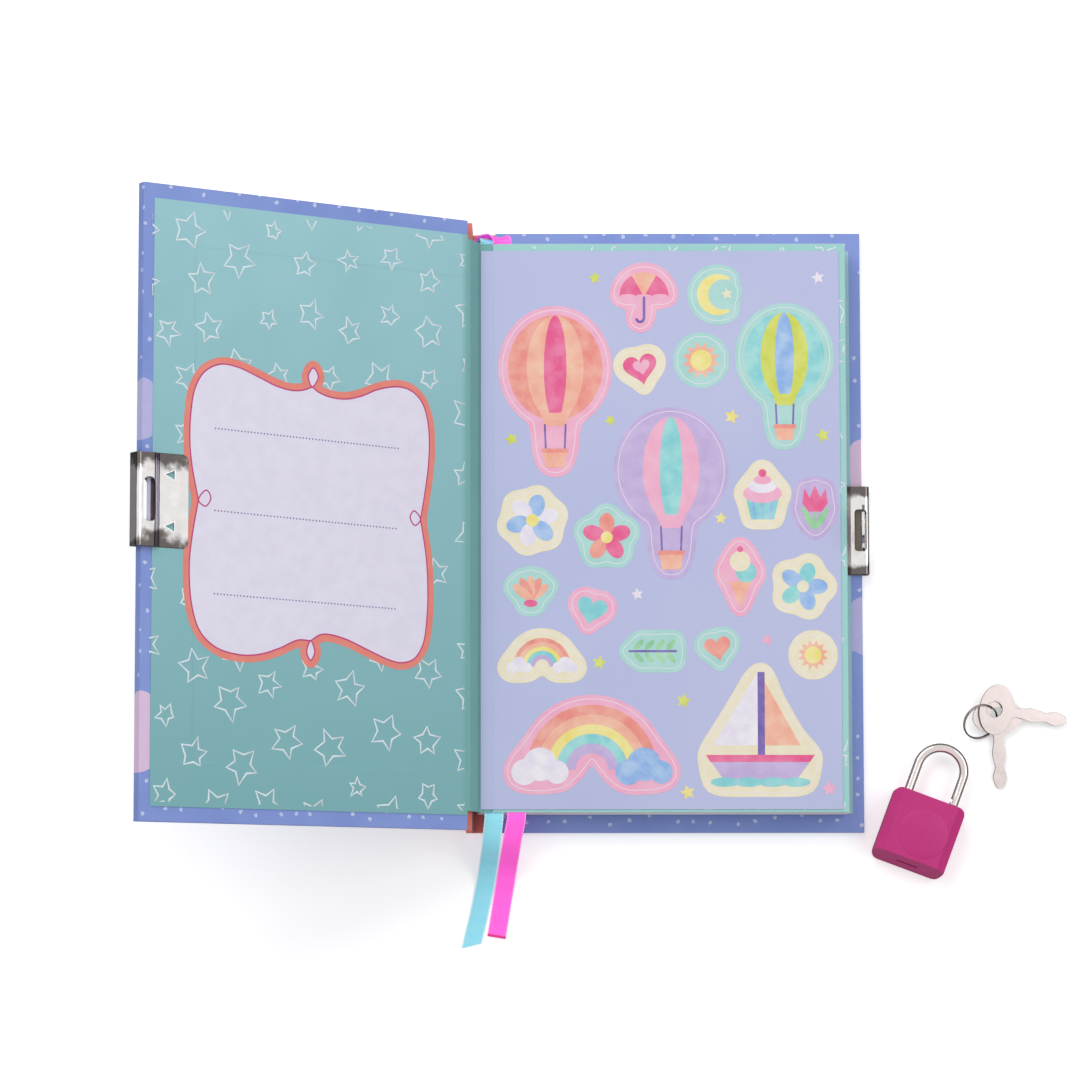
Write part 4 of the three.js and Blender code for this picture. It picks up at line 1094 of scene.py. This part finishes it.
def flower(w, petals, middle, count, turn):
    angles = [turn + 360 * k / count for k in range(count)]
    return [*[(ellipse(*polar(0.3, a), 0.24, 0.17, a), petals[k % len(petals)])
              for k, a in enumerate(angles)], (ellipse(0, 0, 0.13), middle)]


def tulip(w):
    cup = [(-0.2, 0.28), (-0.24, 0), (-0.12, -0.16), (0.12, -0.16), (0.24, 0), (0.2, 0.28),
           (0.1, 0.1), (0, 0.34), (-0.1, 0.1)]
    leaf = [(0, -0.5), (0.16, -0.36), (0.26, -0.06), (0.08, -0.24)]
    leaves = [smoothRing([(side * a, b) for a, b in leaf], 4) for side in (-1, 1)]
    stem = taper(0.35 * w, 0.35 * w, -0.14, -0.5)
    return [*[(ring, "green") for ring in (stem, *leaves)], (cup, "rose")]


def moon(w):
    outside = [polar(0.5, 55 + 250 * k / 24) for k in range(25)]
    inside = placed([polar(0.37, a) for a in range(290, 69, -10)], 0.14)
    return [(outside + inside, "yellow"), (starShape(0.22, 0.02, 0.15, 10), "cream")]


def sun(w):
    rays = [polar(0.5 if k % 2 else 0.34, 15 * k) for k in range(24)]
    return [(rays, "peach"), (ellipse(0, 0, 0.28), "yellow")]


def hearts(w, turn, outer, inner=None):
    inside = [(heart(0.3 * w, 0.3 * w, 0.5, turn), inner)] if inner else []
    return [(heart(0, 0, 1, turn), outer), *inside]


def boat(w):
    waves = [(ellipse(0.2 * (k - 1.5), -0.43, 0.12, 0.04), "aqua") for k in range(4)]
    return [(taper(0.46, 0.3, -0.2, -0.42), "lilac"), (taper(0.46, 0.42, -0.2, -0.26), "rose"),
            ([(-0.02, 0.5), (-0.02, -0.12), (-0.4, -0.12)], "white"),
            ([(0.04, 0.42), (0.04, -0.12), (0.34, -0.12)], "peach"),
            (taper(0.03, 0.03, 0.5, -0.2, 0.01), "plum"), *waves]


def cupcake(w):
    folds = [([(0.18 * k - 0.4 * w, 0), (0.18 * k + 0.4 * w, 0), (0.13 * k + 0.3 * w, -0.42),
               (0.13 * k - 0.3 * w, -0.42)], "sky") for k in (-1, 0, 1)]
    icing = [(ellipse(0, y, r, r / 2), ink)
             for y, r, ink in ((0.04, 0.34, "pink"), (0.17, 0.25, "white"), (0.28, 0.16, "pink"))]
    return [(taper(0.3, 0.2, 0, -0.42), "aqua"), *folds, *icing, (ellipse(0, 0.4, 0.07), "rose")]


def umbrella(w):
    hem = [(ellipse(0.33 * k, 0, 0.16, 0.05), "pink") for k in (-1, 0, 1)]
    return [(arch(0, 0, 0.5, 0.01 * w), "rose"), (arch(0, 0, 0.5, 0.01 * w, 60, 120), "peach"),
            *hem, (taper(0.35 * w, 0.35 * w, 0, -0.45), "plum"),
            (arch(-0.08, -0.45, 0.1, 0.1 - 0.7 * w, 180, 360, 10), "plum")]


def shell(w):
    ribs = []
    for k in range(5):
        a = 90 + (k - 2) * 26
        x, y = polar(1, a)
        ink = ("peach", "salmon")[k % 2]
        ribs.append((ellipse(0.22 * x, 0.26 * y - 0.12, 0.27, 0.1, a), ink))
    return [*ribs, (ellipse(0, -0.2, 0.15, 0.08), "rose")]


def leafSprig(w):
    leaves = [(ellipse(0.2 * (k - 1.3), side * 0.12, 0.12, 0.05, side * 50), "green")
              for k in range(4) for side in (-1, 1)]
    return [(taper(0.45, 0.45, 0.3 * w, -0.3 * w), "plum"), *leaves]


def iceCream(w):
    scoops = ((-0.1, 0.08, 0.17, "pink"), (0.1, 0.08, 0.17, "aqua"), (0, 0.26, 0.17, "cream"),
              (0, 0.46, 0.05, "rose"))
    return [([(-0.22, 0), (0.22, 0), (0, -0.5)], "peach"),
            *[(ellipse(x, y, r), ink) for x, y, r, ink in scoops]]


# border, place and size on the sheet, picture and what it is told
stickerPictures = {
    "balloon_pink": ("pink", 23.5, 42, 25, balloon, "salmon", "peach", "rose"),
    "balloon_aqua": ("mint", 84, 45, 21, balloon, "aqua", "lime", "sky"),
    "balloon_lilac": ("lilac", 54, 15, 25, balloon, "lilac", "pink", "aqua"),
    "rainbow_large": ("pink", 33, -64, 34, rainbow, "white", "sky"),
    "boat": ("cream", 77, -54, 31, boat),
    "umbrella": ("pink", 47, 61, 13, umbrella),
    "moon": ("mint", 66.5, 61.5, 11, moon),
    "heart_rose": ("cream", 46, 42, 9, hearts, 12, "rose", "pink"),
    "sun": ("mint", 62, 44, 10, sun),
    "flower_white": ("cream", 17.5, 1.5, 13, flower, ("white", "sky"), "yellow", 6, 15),
    "flower_rose": ("mint", 37, -3, 12, flower, ("rose", "salmon"), "yellow", 5, 18),
    "cupcake": ("cream", 78, 8, 15, cupcake),
    "tulip": ("lilac", 91.8, 6, 14, tulip),
    "shell": ("mint", 17, -18, 12, shell),
    "heart_aqua": ("pink", 33, -22, 8, hearts, -14, "aqua"),
    "ice_cream": ("pink", 72, -13.5, 16, iceCream),
    "flower_sky": ("cream", 88.5, -16, 12, flower, ("sky", "aqua"), "cream", 5, 0),
    "leaf_sprig": ("mint", 49, -33, 14, leafSprig),
    "rainbow_small": ("cream", 20, -37, 15, rainbow, "white", "white"),
    "sun_small": ("cream", 91, -34, 8, sun),
    "heart_pink": ("mint", 66, -32, 7, hearts, 10, "salmon"),
}
smallStars = [(34, 66, "lime"), (93, 66, "white"), (38, 28, "lime"), (70, 29, "yellow"),
              (94, 24, "lime"), (12, 23, "lime"), (45, -18, "white"), (67, 2, "yellow"),
              (57, -46, "lime"), (58, -70, "yellow"), (79, -30, "pink"), (35, -36, "lime"),
              (95, -69, "pink")]


def newSticker(name):
    return Print(f"sticker_{name}", "sticker_leaf", onTopOf("sticker_sheet"), "sticker_paper")


def makeSticker(name, border, x, y, size, picture, *told):
    sticker = newSticker(name)
    shapes = [(placed(ring, x, y, 0, size), ink) for ring, ink in picture(1 / size, *told)]
    rings = [ring for ring, _ in shapes]
    height = stickers["height"]
    sticker.fill(borderAround(rings, stickers["borderWidth"]), border, height)
    sticker.stroke(borderAround(rings, stickers["cutLine"]), stickers["cutWidth"], "white",
                   height + stickers["cutRise"], closed=True)
    for k, (ring, ink) in enumerate(shapes):
        sticker.fill(ring, ink, height + stickers["pictureRise"] + stickers["layerRise"] * k)
    sticker.make()


def makeSmallStars():
    sticker = newSticker("small_stars")
    draw = random.Random(stickers["starSeed"])
    for x, y, ink in smallStars:
        star = starShape(x, y, draw.uniform(*stickers["starSizes"]), draw.uniform(0, 72))
        sticker.fill(star, ink, stickers["height"])
    sticker.make()


for name, facts in stickerPictures.items():
    makeSticker(name, *facts)
makeSmallStars()
print("stickers made")


# nickel-plated pressings: bright mirror plate with faint waves from the press; each metal has
# its colour, roughness, and the spacing and depth of its waves

metals = {
    "polished nickel plate": ("#F2EFEE", 0.12, 9, 0.6),
    "polished nickel wire": ("#E6DBD8", 0.12, 7, 0.03),
    "tumbled nickel keys": ("#CBC0BE", 0.22, 4, 0.03),
    # the keys' edges are painted dark: a painted reflection of dark surroundings that outlines
    # them
    "key edges painted dark": ("#463E3C", 0.3, 2, 0.02),
    "dark nickel spring wire": ("#9A8F8A", 0.2, 4, 0.02),
    "plain turned steel": ("#A9A9A9", 0.35, 3, 0.02),
    # the tooth rims are whiter than the plate: a painted highlight on the bent teeth
    "tooth rims with painted highlight": ("#FFFDFB", 0.4, 4, 0.02),
}
# painted reflection: dark cloudy marks where the plate mirrors dark surroundings, widest towards
# the plate's ends
paintedReflection = {
    "colour": "#5E5654",
    "size": 6.5,
    "fromMiddle": (5, 11),
    "spread": (-0.2, 0.22),
    "edge": (0.46, 0.66),
    "most": 0.95,
}
fineMarks = (0.4, 2)  # size and detail of the tool's marks


def nickelPlate(name, darkReflections=False):
    colour, roughness, wave, depth = metals[name]
    material, shader, add = newMaterial(name, Metallic=1)
    point = add("TexCoord").outputs["Object"]
    patches = add("TexNoise", point, 1 / (2.5 * mm), 3, grain)
    tone = linear(colour)
    dull = (*[c * 0.86 for c in tone[:3]], 1)
    plain = add("Mix", patches, dull, tone, data_type="RGBA")
    # painted reflection: dark clouds laid into the plate's colour
    if darkReflections:
        y = add("SeparateXYZ", point).outputs[1]
        near, far = paintedReflection["fromMiddle"]
        ends = add("MapRange", add("Math", y, operation="ABSOLUTE"),
                   near * mm, far * mm, *paintedReflection["spread"])
        clouds = add("TexNoise", point, 1 / (paintedReflection["size"] * mm), 3, grain)
        reflectionShare = add("MapRange", add("Math", clouds, ends, operation="ADD"),
                    *paintedReflection["edge"], 0, paintedReflection["most"], interpolation_type="SMOOTHSTEP")
        plain = add("Mix", reflectionShare, plain, paintedReflection["colour"], data_type="RGBA")
    wire(shader, Base_Color=plain, Roughness=add("MapRange", patches, 0, 1,
                                                 roughness * 0.7, roughness * 1.4))
    addRelief(shader, point, ((wave, 2), depth, 0.6), (fineMarks, 0.004, 0.5))
    return material


platedPressing = nickelPlate("polished nickel plate", darkReflections=True)
platedWire, keyPlate, keyEdgePaintedDark, darkWire, latchSteel, toothRimHighlight = [
    nickelPlate(name) for name in list(metals)[1:]]
inks["rim highlight"] = toothRimHighlight

# node, name, edge radius, body
plates = [("hasp_plate", "hasp", 0.1, "front_cover"),
          ("staple_plate", "staple", 0.1, "back_cover")]
keys = [("key_a", "upper_key_blank", 0.22, "upper_key"),
        ("key_b", "lower_key_blank", 0.22, "lower_key")]
flatOfKey = 0.98  # faces that look up less than this are sheared edges

for facts in plates:
    roundedCopy(*facts, "nickel_plate", platedPressing, sharpest=35)
# faces of the keys' edges get the dark metal, a painted dark reflection
for facts in keys:
    key = roundedCopy(*facts, "nickel_plate", keyPlate, keyEdgePaintedDark, sharpest=40)
    for face in key.data.polygons:
        face.material_index = int(abs(face.normal.z) < flatOfKey)
roundedCopy("shackle", "shackle_bow_bar", 0, "shackle_bow", "nickel_plate", platedWire)
dress(latchSteel, "lock_latch", "latch_spring", "shackle_retainer")


# what shows through the plate: printed paper under it, painted shade on the wall of its slot, and
# the bright rims of its punched teeth, whiter than the plate as a painted highlight

haspDetails = {
    # distance from the fore-edge and half width at each end, ink, height
    "beds": [(13.1, 11.6, 4.8, 11.6, "teal", -0.24), (4.8, 11.6, 1.6, 11.6, "edge lilac", -0.24),
             (4.7, 5.6, 2.6, 5.2, "slot shade", -0.2)],
    "bedThickness": 0.1,
    "teeth": [(9.2, -6.5), (9.2, 6.5)],
    "toothLength": 3,
    "toothHalfWidth": 1.3,
    "rimBase": 0.2,
}


def makeHaspDetails():
    bed = Print("hasp_bed", "front_cover", onFront, "cover_paper")
    for back, wide, fore, narrow, ink, height in haspDetails["beds"]:
        x0, x1 = coverWidth - back, coverWidth - fore
        bed.fill([(x0, -wide), (x1, -narrow), (x1, narrow), (x0, wide)], ink, height,
                 base=height - haspDetails["bedThickness"])
    bed.make()
    teeth = Print("hasp_teeth", "front_cover", onFront, "nickel_plate")
    half, base = haspDetails["toothHalfWidth"], haspDetails["rimBase"]
    for back, y in haspDetails["teeth"]:
        x = coverWidth - back
        tip = (x + haspDetails["toothLength"], y)
        left, right = (x - 0.05, y - half), (x - 0.05, y + half)
        teeth.stroke([tip, left, right], 0.28, "rim highlight", 0.33, base=base)
        teeth.stroke([right, tip], 0.2, "rim highlight", 0.31, base=base)
    teeth.make()


makeHaspDetails()


# the spring under the shackle's long leg, copied from the CAD coil in plain steel
def makeLiftSpring():
    mesh = frame["nodes"]["lift_spring"].data.copy()
    mesh.name = "lift_spring_coil"
    mesh.materials.clear()
    piece = newPiece(mesh.name, mesh, None, latchSteel, slot="latch_steel", node="lift_spring")
    axis = Vector(joints["shackle_slide"]["axis"]).normalized()
    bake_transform(piece)


makeLiftSpring()


# split ring: two close turns of spring wire, its ends cut square

splitRing = {
    "wire": 0.42,
    "turns": 2,
    "gap": 0.02,
    "segments": 56,
    "sides": 10,
    "crossesFrom": 0.9,  # in turns; each turn stays on its own side but for this crossing
    "crossesOver": 0.2,
}


def makeSplitRing():
    low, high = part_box("key_ring")
    centre = (low + high) / 2
    rel = np.array([v.co - centre for v in frame["nodes"]["key_ring"].data.vertices])
    axis = Vector(np.linalg.svd(rel[:: max(1, len(rel) // 600)], full_matrices=False)[2][2])
    axis = axis if axis.z > 0 else -axis
    radial = rel - np.outer(rel @ np.array(axis), np.array(axis))
    lengths = np.linalg.norm(radial, axis=1)
    radius = (lengths.max() + lengths.min()) / 2
    first = axis.orthogonal().normalized()
    second = axis.cross(first)
    wire = splitRing["wire"] * mm
    rise = wire + splitRing["gap"] * mm
    turns, sides = splitRing["turns"], splitRing["sides"]
    count = splitRing["segments"] * turns
    rings = []
    for i in range(count + 1):
        turn = i / count * turns
        out = first * math.cos(2 * math.pi * turn) + second * math.sin(2 * math.pi * turn)
        step = min(max((turn - splitRing["crossesFrom"]) / splitRing["crossesOver"], 0), 1)
        step = step * step * (3 - 2 * step)
        middle = centre + out * radius + axis * rise * (step - 0.5)
        around = [polar(wire / 2, 360 * k / sides) for k in range(sides)]
        rings.append([middle + out * a + axis * b for a, b in around])
    newPiece("split_ring", loft("split_ring", rings, 60), "ring", darkWire,
             slot="nickel_plate", node="key_ring")


makeSplitRing()


# padlock case: die-cast, sprayed with satin magenta enamel, which leaves a fine orange peel

padlock = {
    "tones": ("#BE2676", "#CB2D82"),
    "edgeRadius": 0.55,
    "right": (0.93667, -0.35021, 0),
    "upwards": (0.35021, 0.93667, 0),
    "markOffset": 1.2,
    # the round mark stands very slightly proud of the front: radius, height
    "mark": [(0.01, 0.12), (6.2, 0.12), (6.4, 0.084), (6.5, 0), (6.5, -0.3)],
    "markSides": 72,
}
enamel = washedMaterial("satin magenta enamel", padlock["tones"], 6, 3,
                        [((0.35, 2), 0.012, 0.4), ((3, 1), 0.02, 0.3)], Roughness=0.4,
                        Specular_IOR_Level=0.35, Coat_Weight=0.1, Coat_Roughness=0.25)
roundedCopy("lock_body", "padlock_case", padlock["edgeRadius"], "padlock", "magenta_enamel",
            enamel, sharpest=20)
dress(enamel, "lock_back")


def makeLockMark():
    low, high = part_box("lock_body")
    right, upwards = Vector(padlock["right"]), Vector(padlock["upwards"])
    centre = Vector(((low.x + high.x) / 2, (low.y + high.y) / 2, high.z))
    centre += right * padlock["markOffset"] * mm
    around = [polar(mm, 360 * k / padlock["markSides"]) for k in range(padlock["markSides"])]
    rings = [[centre + (right * a + upwards * b) * radius + Vector((0, 0, rise * mm))
              for a, b in around] for radius, rise in padlock["mark"]]
    newPiece("padlock_mark", loft("padlock_mark", rings, 35), "padlock", enamel,
             slot="magenta_enamel")


makeLockMark()
print("lock and keys made")


# the table, and light from all round with a soft lamp above the head of the book

studio = {
    "floorSize": 1.6,
    "floorColour": "#F4F4F4",
    "floorLift": 0.4,  # what the camera sees above the lit floor
    "floorMirrored": 0.22,  # dark in reflections, which draws the edges of shiny things
    "worldLevel": 0.5,
    "horizonLevel": 0.06,  # darker low down in reflections, so that metal has an outline
    "skyLevel": 0.95,
    "horizonFromTo": (0.16, 0.4),
    "lamps": [
        # place, size, power, aimed at the origin
        ((-0.35, 0.55, 0.9), (0.7, 0.5), 4.4),
        ((0.55, 0.1, 0.8), (0.5, 0.5), 1.8),
    ],
}


def makeFloor():
    half = studio["floorSize"] / 2
    corners = [(-half, -half, 0), (half, -half, 0), (half, half, 0), (-half, half, 0)]
    material, shader, add = newMaterial("matt white paper floor", Roughness=0.9,
                                        Specular_IOR_Level=0.1,
                                        Base_Color=studio["floorColour"])
    rays = add("LightPath").outputs
    seen = add("Math", rays["Is Camera Ray"], rays["Is Transmission Ray"], operation="MAXIMUM")
    lift = add("Math", seen, studio["floorLift"], operation="MULTIPLY")
    lit = add("AddShader", shader, add("Emission", Strength=lift))
    card = add("Emission", Strength=studio["floorMirrored"])
    wire(material.node_tree.nodes["Material Output"],
         Surface=add("MixShader", rays["Is Glossy Ray"], lit, card))
    mesh = meshFrom("table_top", corners, [(0, 1, 2, 3)])
    newPiece("table_top", mesh, None, material)


def makeWorld():
    world = bpy.data.worlds.new("studio")
    world.use_nodes = True
    bpy.context.scene.world = world
    add = functools.partial(addNode, world.node_tree)
    rays = add("LightPath").outputs
    direction = add("TexCoord").outputs["Generated"]
    height = add("SeparateXYZ", direction).outputs[2]
    mirrored = add("MapRange", height, *studio["horizonFromTo"],
                   studio["horizonLevel"], studio["skyLevel"], interpolation_type="SMOOTHSTEP")
    level = add("Mix", rays["Is Glossy Ray"], studio["worldLevel"], mirrored, data_type="FLOAT")
    level = add("Mix", rays["Is Camera Ray"], level, 1, data_type="FLOAT")
    wire(world.node_tree.nodes["Background"], Color=(1, 1, 1, 1), Strength=level)


def makeLamps():
    for i, (place, size, power) in enumerate(studio["lamps"]):
        data = bpy.data.lights.new(f"lamp_{i}", "AREA")
        data.shape = "RECTANGLE"
        data.size, data.size_y = size
        data.energy = power
        lamp = bpy.data.objects.new(f"lamp_{i}", data)
        lamp.location = place
        lamp.rotation_euler = (-Vector(place)).to_track_quat("-Z", "Y").to_euler()
        bpy.context.scene.collection.objects.link(lamp)


makeFloor()
makeWorld()
makeLamps()
bpy.context.scene.view_settings.view_transform = "Standard"
print("studio made")
